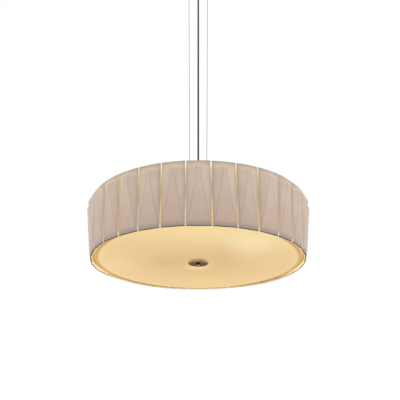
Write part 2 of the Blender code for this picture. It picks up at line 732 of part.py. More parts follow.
def add_frame(pendant):
    """Top ring that the tiles hook on, and the bottom ring on its three rods."""
    top = [(RING_INNER_RADIUS, 0.0), (RING_OUTER_RADIUS, 0.0),
           (RING_OUTER_RADIUS, -RING_THICKNESS), (RING_INNER_RADIUS, -RING_THICKNESS)]
    place(turned("top_ring", top, RING_STEPS), "frame_paint", pendant, (0.0, 0.0, DRUM_TOP_Z))
    lip_radius = DRUM_RADIUS + SEAT_GAP
    lip_top = -SEAT_GAP
    lip_bottom = lip_top - LIP_THICKNESS
    ring_top = lip_bottom + LIP_THICKNESS + RING_THICKNESS
    bottom = [(RING_INNER_RADIUS, ring_top), (RING_OUTER_RADIUS, ring_top), (RING_OUTER_RADIUS, lip_top),
              (lip_radius, lip_top), (lip_radius, lip_bottom), (RING_INNER_RADIUS, lip_bottom)]
    ring = turned("bottom_frame", bottom, RING_STEPS)
    rod_top = DRUM_HEIGHT - RING_THICKNESS - SEAT_GAP
    middle = (RING_INNER_RADIUS + RING_OUTER_RADIUS) / 2
    rods = []
    for number in range(ROD_COUNT):
        centre = azimuth_point(ROD_AZIMUTH + math.tau * number / ROD_COUNT, middle)
        rods.append(rod("upright", ROD_RADIUS, ring_top - RING_THICKNESS / 2, rod_top, CABLE_STEPS, centre))
    combine(ring, rods, "UNION")
    place(ring, "frame_paint", pendant, (0.0, 0.0, DRUM_BOTTOM_Z))


def add_drum(pendant):
    """Opal drum between the two rings."""
    inner = DRUM_RADIUS - DRUM_WALL
    profile = [(inner, 0.0), (DRUM_RADIUS, 0.0), (DRUM_RADIUS, -DRUM_HEIGHT), (inner, -DRUM_HEIGHT)]
    place(turned("opal_drum", profile, RING_STEPS), "opal_sheet", pendant, (0.0, 0.0, DRUM_TOP_Z))


def add_cluster(pendant):
    """Cup under the hub that joins the lamp holders, the cord and the stem."""
    floor_hole = STEM_RADIUS + SEAT_GAP
    inner_round = CUP_ROUND - CUP_WALL
    centre_radius = CUP_RADIUS - CUP_ROUND
    centre_z = CUP_ROUND - CUP_HEIGHT
    outside = arc(centre_radius, centre_z, CUP_ROUND, -QUARTER, 0.0, CUP_ROUND_STEPS)
    inside = arc(centre_radius, centre_z, inner_round, 0.0, -QUARTER, CUP_ROUND_STEPS)
    rim = [(CUP_RADIUS, 0.0), (CUP_RADIUS - CUP_WALL, 0.0)]
    profile = [(floor_hole, -CUP_HEIGHT)] + outside + rim + inside + [(floor_hole, CUP_WALL - CUP_HEIGHT)]
    place(turned("cluster_cup", profile, CUP_STEPS), "frame_paint", pendant, (0.0, 0.0, CUP_TOP_Z))


def add_holder(pendant, number):
    """Lamp holder on the cup's side and the bulb screwed into it."""
    azimuth = BULB_AZIMUTH + math.tau * number / HOLDER_COUNT
    direction_x, direction_y = azimuth_point(azimuth, 1.0)
    turn = (math.pi / 2, 0.0, azimuth)
    bore = BULB_BASE_RADIUS + RUNNING_GAP
    floor = HOLDER_NECK_LENGTH + HOLDER_LENGTH - HOLDER_BORE_DEPTH
    mouth = HOLDER_NECK_LENGTH + HOLDER_LENGTH
    holder = [
        (0.0, 0.0),
        (HOLDER_NECK_RADIUS, 0.0),
        (HOLDER_NECK_RADIUS, HOLDER_NECK_LENGTH),
        (HOLDER_RADIUS - HOLDER_RIM, HOLDER_NECK_LENGTH + HOLDER_SHOULDER / 2),
        (HOLDER_RADIUS, HOLDER_NECK_LENGTH + HOLDER_SHOULDER),
        (HOLDER_RADIUS, mouth - HOLDER_RIM),
        (HOLDER_RADIUS - HOLDER_RIM, mouth),
        (bore, mouth),
        (bore, floor),
        (0.0, floor),
    ]
    start = CUP_RADIUS + SEAT_GAP
    piece = turned(f"lamp_holder_{number + 1}", holder, SMALL_STEPS, closed=False)
    place(piece, "holder_plastic", pendant, (direction_x * start, direction_y * start, HOLDER_Z), turn)
    seat = start + floor + SEAT_GAP
    glass_centre = BULB_LENGTH - BULB_RADIUS
    base_end = BULB_TIP_LENGTH + BULB_BASE_LENGTH
    neck_radius = BULB_BASE_RADIUS + HOLDER_RIM
    bulb = [
        (0.0, 0.0),
        (BULB_TIP_RADIUS, 0.0),
        (BULB_BASE_RADIUS, BULB_TIP_LENGTH),
        (BULB_BASE_RADIUS, base_end),
        (neck_radius, base_end + HOLDER_RIM),
    ] + arc(0.0, glass_centre, BULB_RADIUS, BULB_SHOULDER_ANGLE, QUARTER, BULB_ROUND_STEPS)
    bulb[-1] = (0.0, BULB_LENGTH)
    piece = turned(f"bulb_{number + 1}", bulb, SMALL_STEPS, closed=False)
    place(piece, "bulb_glass", pendant, (direction_x * seat, direction_y * seat, HOLDER_Z), turn)


def add_stem(pendant):
    """Stem from the cup's floor to the finial, with the collar that the dish is drawn up to."""
    dish_inside = DISH_Z + DISH_WALL
    collar_bottom = dish_inside + SEAT_GAP - CUP_BOTTOM_Z
    collar_top = collar_bottom + SEAT_COLLAR_HEIGHT
    nut_bottom = CUP_WALL + SEAT_GAP
    nut_top = nut_bottom + STEM_NUT_HEIGHT
    stud_end = KNOB_TOP_Z - KNOB_LENGTH + KNOB_FLOOR + SEAT_GAP - CUP_BOTTOM_Z
    profile = [
        (0.0, nut_top + STEM_TOP_LENGTH),
        (STEM_RADIUS, nut_top + STEM_TOP_LENGTH),
        (STEM_RADIUS, nut_top),
        (STEM_NUT_RADIUS, nut_top),
        (STEM_NUT_RADIUS, nut_bottom),
        (STEM_RADIUS, nut_bottom),
        (STEM_RADIUS, collar_top),
        (SEAT_COLLAR_RADIUS, collar_top),
        (SEAT_COLLAR_RADIUS, collar_bottom),
        (STUD_RADIUS, collar_bottom),
        (STUD_RADIUS, stud_end),
        (0.0, stud_end),
    ]
    stem = turned("stem", profile, SMALL_STEPS, closed=False)
    place(stem, "satin_nickel", pendant, (0.0, 0.0, CUP_BOTTOM_Z))


def crown_height(radius):
    """Height of the dish's outside above its lowest point, on its crowned floor."""
    return DISH_CROWN * (radius / (DISH_RADIUS - DISH_ROUND)) ** 2


def add_dish(pendant):
    """Shallow opal dish: crowned floor, rounded edge and upright rim."""
    hole = STUD_RADIUS + RUNNING_GAP
    edge_radius = DISH_RADIUS - DISH_ROUND
    stations = [hole, edge_radius / 2, edge_radius]
    floor_outside = [(radius, crown_height(radius)) for radius in stations]
    centre_z = DISH_CROWN + DISH_ROUND
    rim_top = DISH_CROWN + DISH_RIM_HEIGHT
    round_outside = arc(edge_radius, centre_z, DISH_ROUND, -QUARTER, 0.0, ROUND_STEPS)
    round_inside = arc(edge_radius, centre_z, DISH_ROUND - DISH_WALL, 0.0, -QUARTER, ROUND_STEPS)
    floor_inside = [(radius, height + DISH_WALL) for radius, height in reversed(floor_outside[:-1])]
    rim = [(DISH_RADIUS, rim_top), (DISH_RADIUS - DISH_WALL, rim_top)]
    profile = floor_outside + round_outside[1:] + rim + round_inside + floor_inside
    dish = turned("diffuser_dish", profile, RING_STEPS)
    place(dish, "opal_glass", pendant, (0.0, 0.0, DISH_Z))


def add_finial(pendant):
    """Flared disc under the glass and the knob that holds it up."""
    hole = STUD_RADIUS + RUNNING_GAP
    disc = [
        (hole, 0.0),
        (FINIAL_NECK_RADIUS, 0.0),
        (FINIAL_RADIUS, 2 * FINIAL_EDGE - FINIAL_THICKNESS),
        (FINIAL_RADIUS - FINIAL_EDGE, FINIAL_EDGE - FINIAL_THICKNESS),
        (FINIAL_RADIUS / 2, -FINIAL_THICKNESS),
        (hole, -FINIAL_THICKNESS),
    ]
    place(turned("finial_disc", disc, CUP_STEPS), "dark_bronze", pendant, (0.0, 0.0, FINIAL_TOP_Z))
    bore = STUD_RADIUS + SEAT_GAP
    waist_z = -KNOB_LENGTH / 4
    ball_z = -KNOB_LENGTH + KNOB_RADIUS
    ball = arc(0.0, ball_z, KNOB_RADIUS, 0.0, -QUARTER, ROUND_STEPS)
    ball[-1] = (0.0, -KNOB_LENGTH)
    bore_end = KNOB_FLOOR - KNOB_LENGTH
    knob = [(0.0, bore_end), (bore, bore_end), (bore, 0.0), (KNOB_RADIUS, 0.0), (KNOB_WAIST_RADIUS, waist_z)]
    piece = turned("finial_knob", knob + ball, SMALL_STEPS, closed=False)
    place(piece, "dark_bronze", pendant, (0.0, 0.0, KNOB_TOP_Z))


def build():
    """Make every piece of the light."""
    clear_scene()
    add_ceiling_bracket()
    add_canopy()
    add_terminal_block()
    for side_name, side in (("left", -1), ("right", 1)):
        add_gripper(side_name, side)
    add_canopy_cord_grip()
    add_cord_tail()
    pendant = add_cord()
    add_cables(pendant)
    add_cord_gland(pendant)
    add_spider(pendant)
    add_frame(pendant)
    add_drum(pendant)
    add_cluster(pendant)
    for number in range(HOLDER_COUNT):
        add_holder(pendant, number)
    add_stem(pendant)
    add_dish(pendant)
    add_finial(pendant)
    add_tiles(pendant)


build()
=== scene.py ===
import math
import random

import bmesh
import bpy
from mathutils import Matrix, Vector


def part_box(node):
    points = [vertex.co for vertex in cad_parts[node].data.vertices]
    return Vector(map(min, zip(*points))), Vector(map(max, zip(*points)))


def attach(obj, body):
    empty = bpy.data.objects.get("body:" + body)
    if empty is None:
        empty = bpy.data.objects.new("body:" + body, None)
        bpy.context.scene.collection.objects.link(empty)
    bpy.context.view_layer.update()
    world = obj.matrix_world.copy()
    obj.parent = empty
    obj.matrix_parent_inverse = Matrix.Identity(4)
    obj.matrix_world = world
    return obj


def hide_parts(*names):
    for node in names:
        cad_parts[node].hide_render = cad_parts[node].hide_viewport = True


# The ceramic pendant light, dressed: a ring of glazed tiles round a lit opal drum, an opal dish
# under it, and the dark bronze, nickel and steel that hang it. Sizes are in metres.

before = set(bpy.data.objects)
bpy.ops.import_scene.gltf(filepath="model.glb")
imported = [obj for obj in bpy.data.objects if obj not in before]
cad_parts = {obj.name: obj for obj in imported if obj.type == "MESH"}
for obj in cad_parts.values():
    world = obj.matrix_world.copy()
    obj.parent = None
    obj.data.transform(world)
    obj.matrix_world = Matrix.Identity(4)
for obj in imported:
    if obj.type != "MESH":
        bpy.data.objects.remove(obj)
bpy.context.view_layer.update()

SMALL = 0.000001
QUARTER = math.pi / 2
WHITE = (1.0, 1.0, 1.0, 1.0)
SIDES = (("left", -1), ("right", 1))
# What is left open between pieces that sit on each other
SEAT_GAP = 0.0003
# Turned profiles and the strays of the gaps are given in tenths of a millimetre
TENTHS_PER_METRE = 10000

# Shade
TILE_COUNT = 30
HALF_PITCH = math.pi / TILE_COUNT
ARM_AZIMUTH = 11 * HALF_PITCH
SHADE_RADIUS = 0.2930
SHADE_TAPER = 0.0051
TILE_HEIGHT = 0.1623
TILE_SPACE = 0.0030
TILE_WALL = 0.0045
RIDGE_RISE = 0.0120
RIDGE_DROP = 0.0195
RIDGE_STRAIGHT = 0.0210
RIDGE_HALF_WIDTH = 0.0048
RIDGE_FOOT_RISE = 0.0015
TOP_EDGE_BOW = 0.0012
FOOT_DROP = 0.1528
FOOT_INSET = 0.0030
FOOT_TURN_IN = 0.0018
SHADE_TOP = -0.7846
SHADE_BOTTOM = SHADE_TOP - TILE_HEIGHT

# Dish and finial. The dish hangs a little askew, lower at the back.
DISH_RAISE = 0.0034
DISH_BASE = SHADE_BOTTOM + DISH_RAISE
DISH_RADIUS = 0.2756
DISH_WALL = 0.0035
DISH_ROUND = 0.0096
DISH_CROWN = 0.0016
DISH_RIM = 0.0220
DISH_TILT = 0.0112
# Where the painted shade on its rounded edge begins, from the front backwards
PAINTED_SHADE_FROM = (-0.205, -0.135)
FINIAL_TOP = DISH_BASE - SEAT_GAP
FINIAL_THICKNESS = 0.0065
FINIAL_HOLE = 0.0034

# Inside the shade: what the lamps, the drum, the rings and the arms' screws stand on
LAMP_HEIGHT = -0.8287
DRUM_RADIUS = 0.2708
RING_RADIUS = 0.2685
RING_WIDTH = 0.0100
LEDGE_RADIUS = 0.2711
SCREW_CIRCLE = 0.2630

# Suspension
SWING = -0.0546
GRIPPER_OFFSET = 0.0296
ANCHOR_OFFSET = 0.0231
CABLE_RADIUS = 0.0006
CORD_RADIUS = 0.0025

# Camera, from the shade's outline and gaps in the photograph
CAMERA_PLACE = (0.0, -1.7217, -1.4775)
CAMERA_PITCH = 0.39395
CAMERA_LENS = 60.31
CAMERA_SHIFT = (0.00436, -0.00275)
FLOOR_HEIGHT = -2.4

# What the pale room adds to a smooth lit surface
ROOM_SHEEN = 0.07

# How far the corners beside a gap between tiles stray from an even ring: sideways at the top and
# at the foot, to the right as seen from the front, then upwards at the top and at the foot. The
# first gap to the right of the front tile is 1, and the first to its left is -1. Any gap that isn't
# listed gets a small stray of its own.
GAP_STRAY = {
    1: (-4, 28, 0, 0), 2: (-6, 36, 0, 0), 3: (-30, -17, 0, 0), 4: (29, -6, -4, 0),
    5: (-12, -26, -24, 0), 6: (4, 0, -18, 0), 7: (0, 0, -4, 0), 12: (0, 0, 0, 6), 13: (0, 0, 0, 18),
    14: (0, 0, 0, 30), 15: (0, 0, 0, 26), -1: (9, 7, 0, 0), -2: (27, 6, 0, 0), -3: (31, 27, -6, 0),
    -4: (-8, 21, -12, 0), -5: (-4, 3, -26, 0), -6: (0, 0, -44, 0), -7: (0, 0, -8, -16),
    -8: (0, 0, 0, -28), -9: (0, 0, 0, -20), -11: (0, 0, 0, 26), -12: (0, 0, 0, 18),
    -13: (0, 0, 0, 16), -14: (0, 0, 0, 18), -15: (0, 0, 0, 28),
}


def deselect():
    """Leave nothing selected."""
    bpy.ops.object.select_all(action="DESELECT")


def activate(piece):
    """Select one piece and make it the active one."""
    deselect()
    piece.select_set(True)
    bpy.context.view_layer.objects.active = piece


def named(name):
    """Name the primitive that was just added."""
    piece = bpy.context.active_object
    piece.name = name
    piece.data.name = name
    return piece


def edit(piece):
    """Go into edit mode on a piece."""
    activate(piece)
    bpy.ops.object.mode_set(mode="EDIT")


def leave_edit():
    """Go back to object mode."""
    bpy.ops.object.mode_set(mode="OBJECT")


def select_all():
    """In edit mode, select the whole mesh."""
    bpy.ops.mesh.select_all(action="SELECT")


def pick(piece, kind, test):
    """In edit mode, select the vertices, edges or faces that pass a test, and nothing else."""
    bpy.ops.mesh.select_mode(type=kind)
    bpy.ops.mesh.select_all(action="DESELECT")
    shape = bmesh.from_edit_mesh(piece.data)
    items = {"VERT": shape.verts, "EDGE": shape.edges, "FACE": shape.faces}[kind]
    for item in items:
        item.select_set(bool(test(item)))
    shape.select_flush_mode()
    bmesh.update_edit_mesh(piece.data)


def apply_modifier(piece, kind, **settings):
    """Add a modifier, set it and apply it."""
    activate(piece)
    modifier = piece.modifiers.new(kind.lower(), kind)
    for name, value in settings.items():
        setattr(modifier, name, value)
    bpy.ops.object.modifier_apply(modifier=modifier.name)


def ease_edges(piece, width=0.0003, segments=2, angle=25.0):
    """Round the edges that are sharper than an angle in degrees."""
    apply_modifier(piece, "BEVEL", width=width, segments=segments, limit_method="ANGLE",
                   angle_limit=math.radians(angle), use_clamp_overlap=True)


def settle(piece, at=(0.0, 0.0, 0.0), turn=(0.0, 0.0, 0.0)):
    """Move a piece to its place and put that place into its mesh."""
    activate(piece)
    piece.location = at
    piece.rotation_euler = turn
    bpy.ops.object.transform_apply(location=True, rotation=True, scale=True)


def remember_place(piece):
    """Keep each point's place in the piece's own frame, for patterns that follow the piece."""
    layer = piece.data.attributes.new("own_place", "FLOAT_VECTOR", "POINT")
    for entry, vertex in zip(layer.data, piece.data.vertices):
        entry.vector = vertex.co


def hang(piece, body, finish, nodes=(), smooth=40.0):
    """Shade a piece, give it its finish, and let it ride on a body in place of its CAD nodes."""
    activate(piece)
    bpy.ops.object.shade_smooth_by_angle(angle=math.radians(smooth))
    if finish is not None:
        piece.data.materials.clear()
        piece.data.materials.append(finish)
    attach(piece, body)
    if nodes:
        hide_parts(*nodes)


def two_finishes(piece, first, second, test):
    """Give a piece two finishes, the second where a face passes a test."""
    piece.data.materials.append(first)
    piece.data.materials.append(second)
    for face in piece.data.polygons:
        face.material_index = 1 if test(face) else 0


def arc(centre, radius, start, end, steps):
    """Profile points along a round, from one angle to another in degrees."""
    angles = [math.radians(start + (end - start) * step / steps) for step in range(steps + 1)]
    return [(centre[0] + radius * math.cos(a), centre[1] + radius * math.sin(a)) for a in angles]


def drawn(base, *points):
    """Profile points from (radius, height) pairs in tenths of a millimetre, heights from a base."""
    return [(radius / TENTHS_PER_METRE, base + height / TENTHS_PER_METRE) for radius, height in points]


def turned(name, profile, steps=64, closed=True):
    """Draw a profile of (radius, height) points by extruding one point, and spin it about Z."""
    deselect()
    bpy.ops.mesh.primitive_plane_add(size=0.001)
    piece = named(name)
    bpy.ops.object.mode_set(mode="EDIT")
    bpy.ops.mesh.select_mode(type="VERT")
    bpy.ops.mesh.merge(type="CENTER")
    bpy.ops.transform.translate(value=(profile[0][0], 0.0, profile[0][1]))
    path = profile + profile[:1] if closed else profile
    for (radius, height), (next_radius, next_height) in zip(path, path[1:]):
        bpy.ops.mesh.extrude_region_move(
            TRANSFORM_OT_translate={"value": (next_radius - radius, 0.0, next_height - height)})
    select_all()
    bpy.ops.mesh.spin(steps=steps, angle=math.tau, center=(0.0, 0.0, 0.0), axis=(0.0, 0.0, 1.0))
    select_all()
    bpy.ops.mesh.remove_doubles(threshold=SMALL)
    bpy.ops.mesh.normals_make_consistent(inside=False)
    leave_edit()
    return piece


def fitting(name, profile, steps=40, width=0.0003, closed=False, at=(0.0, 0.0, 0.0)):
    """A turned piece with eased edges, in its place, with its own place kept on it."""
    piece = turned(name, profile, steps, closed)
    ease_edges(piece, width)
    remember_place(piece)
    settle(piece, at)
    return piece


def cup_profile(radius, hole, base, top, wall, bend, steps):
    """Profile of a cup that is open at its top, with a round at its foot and a hole in its floor."""
    centre = (radius - bend, base + bend)
    return ([(hole, base)] + arc(centre, bend, -90.0, 0.0, steps) + [(radius, top), (radius - wall, top)]
            + arc(centre, bend - wall, 0.0, -90.0, steps - 2) + [(hole, base + wall)])


def block(name, low, high):
    """A block between two corners, as a start for edit mode."""
    low = Vector(low)
    high = Vector(high)
    deselect()
    bpy.ops.mesh.primitive_cube_add(size=1.0, location=(low + high) / 2, scale=high - low)
    piece = named(name)
    bpy.ops.object.transform_apply(location=True, rotation=True, scale=True)
    return piece


def copied(piece, name):
    """A copy with its own mesh."""
    copy = bpy.data.objects.new(name, piece.data.copy())
    copy.data.name = name
    bpy.context.scene.collection.objects.link(copy)
    return copy


def discard(piece):
    """Take away a piece that only helped to make another."""
    bpy.data.objects.remove(piece, do_unlink=True)


def joined(piece, others):
    """Join other pieces into one."""
    deselect()
    for other in others:
        other.select_set(True)
    piece.select_set(True)
    bpy.context.view_layer.objects.active = piece
    bpy.ops.object.join()
    return piece


def third(number, start):
    """The azimuth of one of three that stand evenly round the axis."""
    return start + math.tau * number / 3


def azimuth_point(azimuth, radius, height=0.0):
    """The place at a radius and an azimuth, measured from the front towards the right."""
    return Vector((radius * math.sin(azimuth), -radius * math.cos(azimuth), height))


def seen(red, green, blue):
    """A colour as it looks on a screen, from 0 to 255, made linear."""
    share = [value / 255 for value in (red, green, blue)]
    linear = [s / 12.92 if s <= 0.04045 else ((s + 0.055) / 1.055) ** 2.4 for s in share]
    return (*linear, 1.0)


def lit(red, green, blue):
    """A lit surface's own glow, for the colour it has on a screen with the room's sheen on it."""
    return (*[max(part - ROOM_SHEEN, 0.0) for part in seen(red, green, blue)[:3]], 1.0)


class Finish:
    """A material on the Principled shader, with short ways to add nodes to it."""

    def __init__(self, name, colour=(0.8, 0.8, 0.8, 1.0), roughness=0.5, metallic=0.0):
        self.material = bpy.data.materials.new(name)
        self.material.use_nodes = True
        self.tree = self.material.node_tree
        self.shader = self.tree.nodes["Principled BSDF"]
        self.set("Base Color", colour)
        self.set("Roughness", roughness)
        self.set("Metallic", metallic)
        self.material.diffuse_color = colour

    def give(self, socket, value):
        """Join a node's output to a socket, or set the socket's own value."""
        if isinstance(value, bpy.types.NodeSocket):
            self.tree.links.new(value, socket)
        else:
            socket.default_value = value

    def set(self, name, value):
        """Set one of the shader's own inputs."""
        self.give(self.shader.inputs[name], value)

    def glow(self, colour):
        """Let the surface give off a colour."""
        self.set("Emission Color", colour)
        self.set("Emission Strength", 1.0)

    def node(self, kind, inputs, output=0, **settings):
        """Add a node and return one of its outputs."""
        made = self.tree.nodes.new("ShaderNode" + kind)
        for name, value in settings.items():
            setattr(made, name, value)
        for name, value in inputs.items():
            self.give(made.inputs[name], value)
        return made.outputs[output]

    def place(self):
        """Object coordinates."""
        return self.node("TexCoord", {}, output="Object")

    def own_place(self):
        """The place that was kept in the piece's own frame."""
        return self.node("Attribute", {}, output="Vector", attribute_name="own_place")

    def parts(self, vector):
        """The three parts of a vector."""
        made = self.tree.nodes.new("ShaderNodeSeparateXYZ")
        self.give(made.inputs[0], vector)
        return made.outputs[0], made.outputs[1], made.outputs[2]

    def math(self, operation, first, second=0.0, clamp=False):
        """One step of arithmetic."""
        return self.node("Math", {0: first, 1: second}, operation=operation, use_clamp=clamp)

    def times(self, first, second):
        """One value times another."""
        return self.math("MULTIPLY", first, second)

    def squares(self, x, y):
        """Two values, each squared, added up."""
        return self.math("ADD", self.times(x, x), self.times(y, y))

    def off_axis(self, x, y):
        """Distance from the axis."""
        return self.math("SQRT", self.squares(x, y))

    def halved(self, value):
        """A value from -1 to 1, brought to run from 0 to 1."""
        return self.node("Math", {0: value, 1: 0.5, 2: 0.5}, operation="MULTIPLY_ADD")

    def fade(self, value, start, end, low=0.0, high=1.0):
        """A soft step from low to high as a value goes from start to end."""
        return self.node("MapRange", {"Value": value, "From Min": start, "From Max": end,
                                      "To Min": low, "To Max": high}, interpolation_type="SMOOTHSTEP")

    def fall(self, value, start, end, high=1.0):
        """A soft step down to nothing."""
        return self.fade(value, start, end, high, 0.0)

    def straight(self, value, start, end, low=0.0, high=1.0):
        """A straight run from low to high, held at both ends."""
        return self.node("MapRange", {"Value": value, "From Min": start, "From Max": end,
                                      "To Min": low, "To Max": high})

    def stretch(self, vector, scale):
        """A vector scaled along each axis."""
        return self.node("Mapping", {"Vector": vector, "Scale": scale})

    def noise(self, vector, scale, detail=2.0, roughness=0.5):
        """Soft noise from 0 to 1."""
        return self.node("TexNoise", {"Vector": vector, "Scale": scale, "Detail": detail,
                                      "Roughness": roughness})

    def mix(self, share, first, second):
        """A colour between two others."""
        made = self.tree.nodes.new("ShaderNodeMix")
        made.data_type = "RGBA"
        self.give(made.inputs[0], share)
        self.give(made.inputs[6], first)
        self.give(made.inputs[7], second)
        return made.outputs[2]

    def tinged(self, colour, value, start, end, share, other):
        """A colour that goes a share of the way to another as a value rises."""
        return self.mix(self.straight(value, start, end, 0.0, share), colour, other)

    def stops(self, share, kind, colours):
        """Seen or lit colours along a run from 0 to 1, each given as its place, red, green, blue."""
        made = self.tree.nodes.new("ShaderNodeValToRGB")
        ramp = made.color_ramp
        ramp.interpolation = "EASE"
        while len(ramp.elements) < len(colours):
            ramp.elements.new(1.0)
        for element, (at, *colour) in zip(ramp.elements, colours):
            element.position = at
            element.color = kind(*colour)
        self.give(made.inputs[0], share)
        return made.outputs[0]

    def bump(self, height, distance, strength=1.0, under=None):
        """Bump the shader's normal with a height from 0 to 1."""
        inputs = {"Height": height, "Distance": distance, "Strength": strength}
        if under is not None:
            inputs["Normal"] = under
        normal = self.node("Bump", inputs)
        self.set("Normal", normal)
        return normal


def room_to_side(finish, reach, drop):
    """How far a place on a tile is from the tile's side."""
    half_width = finish.straight(drop, 0.0, TILE_HEIGHT, half_width_at(0.0), half_width_at(TILE_HEIGHT))
    return finish.math("SUBTRACT", half_width, reach)


def glaze_finish():
    """Satin glaze on slip-cast ware: mauve on the facets, thin and bluer on ridges and borders."""
    finish = Finish("satin_glaze", roughness=0.4)
    across, drop, firing = finish.parts(finish.own_place())
    reach = finish.math("ABSOLUTE", across)
    to_side = room_to_side(finish, reach, drop)
    ridge = finish.straight(drop, RIDGE_DROP + RIDGE_STRAIGHT, FOOT_DROP,
                            RIDGE_HALF_WIDTH, half_width_at(FOOT_DROP) - FOOT_INSET)
    from_ridge = finish.math("SUBTRACT", reach, ridge)
    to_ridge = finish.math("ABSOLUTE", from_ridge)
    spot = finish.node("CombineXYZ", {0: across, 1: drop, 2: firing})
    cloud = finish.noise(spot, 26.0, 3.0, 0.6)
    streaks = finish.noise(finish.stretch(spot, (520.0, 34.0, 1.0)), 1.0, 3.0, 0.65)
    grain = finish.noise(spot, 900.0, 2.0)

    below_crown = finish.fade(drop, RIDGE_DROP * 0.75, RIDGE_DROP * 1.1)
    line = finish.times(finish.fall(to_ridge, 0.0003, 0.0040), below_crown)
    line = finish.times(line, finish.straight(drop, RIDGE_DROP, FOOT_DROP, 0.22, 0.42))
    border = finish.fall(to_side, 0.0005, 0.0085, 0.42)
    edge = finish.fall(to_side, 0.0002, 0.0016, 0.30)
    # painted shade on the foot band, deepening towards the bottom edge
    foot = finish.straight(drop, FOOT_DROP - 0.0060, TILE_HEIGHT - 0.0015)
    thin_glaze_and_painted_shade = finish.math("MAXIMUM", line, finish.math("MAXIMUM", border, foot))
    thin_glaze_and_painted_shade = finish.math("ADD", thin_glaze_and_painted_shade, edge, clamp=True)

    middle = finish.fall(from_ridge, -0.0006, 0.0006)
    warm = finish.times(middle, below_crown)
    tint = finish.math("FRACT", finish.times(firing, 7.31))
    facet = finish.mix(finish.fade(cloud, 0.36, 0.64), seen(195, 177, 161), seen(207, 184, 167))
    facet = finish.mix(finish.times(warm, finish.straight(tint, 0.0, 1.0, 0.15, 0.7)),
                       facet, seen(212, 184, 167))
    facet = finish.tinged(facet, tint, 0.0, 1.0, 0.35, seen(192, 180, 167))
    # painted shade: the facets grow darker towards the foot
    facet = finish.tinged(facet, drop, 0.050, 0.150, 0.70, seen(182, 158, 142))
    # the crown darkens towards its top edge: partly thin glaze, partly painted shade
    crown = finish.fall(drop, RIDGE_DROP * 0.92, RIDGE_DROP * 1.08)
    rising = finish.stops(finish.straight(drop, 0.0, RIDGE_DROP), seen, [
        (0.0, 150, 138, 132), (0.12, 168, 152, 140), (0.28, 188, 167, 149), (0.60, 200, 178, 157),
        (0.85, 205, 183, 164), (1.0, 204, 182, 164)])
    facet = finish.mix(crown, facet, rising)
    colour = finish.mix(thin_glaze_and_painted_shade, facet, seen(154, 145, 144))
    colour = finish.tinged(colour, streaks, 0.3, 0.75, 0.16, seen(150, 130, 118))
    colour = finish.tinged(colour, grain, 0.35, 0.7, 0.05, seen(228, 214, 200))
    bare = finish.fade(drop, TILE_HEIGHT - 0.0024, TILE_HEIGHT - 0.0012)
    x, y = finish.parts(finish.place())[:2]
    depth = finish.math("SQRT", finish.math("SUBTRACT", finish.squares(x, y), finish.times(across, across)))
    plane = plane_at(TILE_HEIGHT)
    front = finish.fade(depth, plane - 0.0042, plane - 0.0034)
    clay = seen(214, 192, 152)
    # painted shade along the front edge of the foot's underside, less of it on the tiles at the back
    wear_and_painted_light = finish.mix(grain, seen(54, 37, 18), seen(72, 52, 28))
    wear_and_painted_light = finish.mix(finish.fade(y, 0.09, 0.17, 0.0, 0.85), wear_and_painted_light, clay)
    colour = finish.mix(bare, colour, finish.mix(front, clay, wear_and_painted_light))
    finish.set("Base Color", colour)
    # painted light: a glow on the bare clay of the underside, as from the lit glass behind it
    lit_foot = finish.times(bare, finish.math("SUBTRACT", 1.0, front))
    finish.glow(finish.mix(lit_foot, (0.0, 0.0, 0.0, 1.0), seen(178, 158, 112)))
    finish.set("Specular IOR Level", 0.36)
    satin = finish.straight(cloud, 0.3, 0.7, 0.34, 0.44)
    finish.set("Roughness", finish.math("MAXIMUM", satin, finish.times(bare, 0.8)))
    finish.set("IOR", 1.5)
    ripple = finish.noise(finish.stretch(spot, (160.0, 60.0, 1.0)), 1.0, 2.0)
    under = finish.bump(ripple, 0.0004, 0.6)
    finish.bump(streaks, 0.00008, 0.5, under)
    return finish.material


def clay_finish():
    """Bare pale clay on a tile's sides and back, lit by the glass behind it, least at the back."""
    finish = Finish("bare_clay", roughness=0.85)
    across, drop = finish.parts(finish.own_place())[:2]
    grain = finish.noise(finish.own_place(), 700.0, 3.0)
    cloud = finish.noise(finish.own_place(), 30.0, 2.0)
    tone = finish.mix(finish.straight(cloud, 0.3, 0.7), seen(222, 204, 174), seen(232, 216, 188))
    scuffs = finish.straight(grain, 0.4, 0.7, 0.0, 0.25)
    finish.set("Base Color", finish.mix(scuffs, tone, seen(200, 178, 146)))
    to_side = room_to_side(finish, finish.math("ABSOLUTE", across), drop)
    back = finish.mix(finish.fade(drop, 0.1500, 0.1560), seen(66, 54, 30), seen(206, 196, 158))
    side = finish.stops(finish.straight(drop, 0.0, TILE_HEIGHT), seen, [
        (0.0, 142, 138, 104), (0.22, 134, 128, 94), (0.42, 96, 88, 66), (0.58, 110, 104, 78),
        (0.78, 134, 130, 96), (1.0, 146, 142, 106)])
    # gaps that the light doesn't fill: the upper part of three towards the sides, one at its foot
    x, y = finish.parts(finish.place())[:2]
    both_sides = finish.times(finish.fade(finish.math("ABSOLUTE", x), 0.222, 0.230),
                              finish.fall(drop, 0.090, 0.120))
    right_top = finish.times(finish.fade(x, 0.178, 0.186), finish.fall(drop, 0.060, 0.090))
    left_foot = finish.times(finish.fade(x, -0.172, -0.164), finish.fall(x, -0.138, -0.130))
    left_foot = finish.times(left_foot, finish.fade(drop, 0.110, 0.135))
    unlit = finish.math("MAXIMUM", both_sides, finish.math("MAXIMUM", right_top, left_foot))
    side = finish.mix(finish.times(unlit, 0.9), side, seen(116, 103, 92))
    glow = finish.mix(finish.fall(to_side, 0.0003, 0.0008), back, side)
    dimmer = finish.fade(y, 0.05, 0.17)
    finish.glow(finish.mix(dimmer, glow, seen(62, 46, 18)))
    finish.bump(grain, 0.0001, 0.5)
    return finish.material


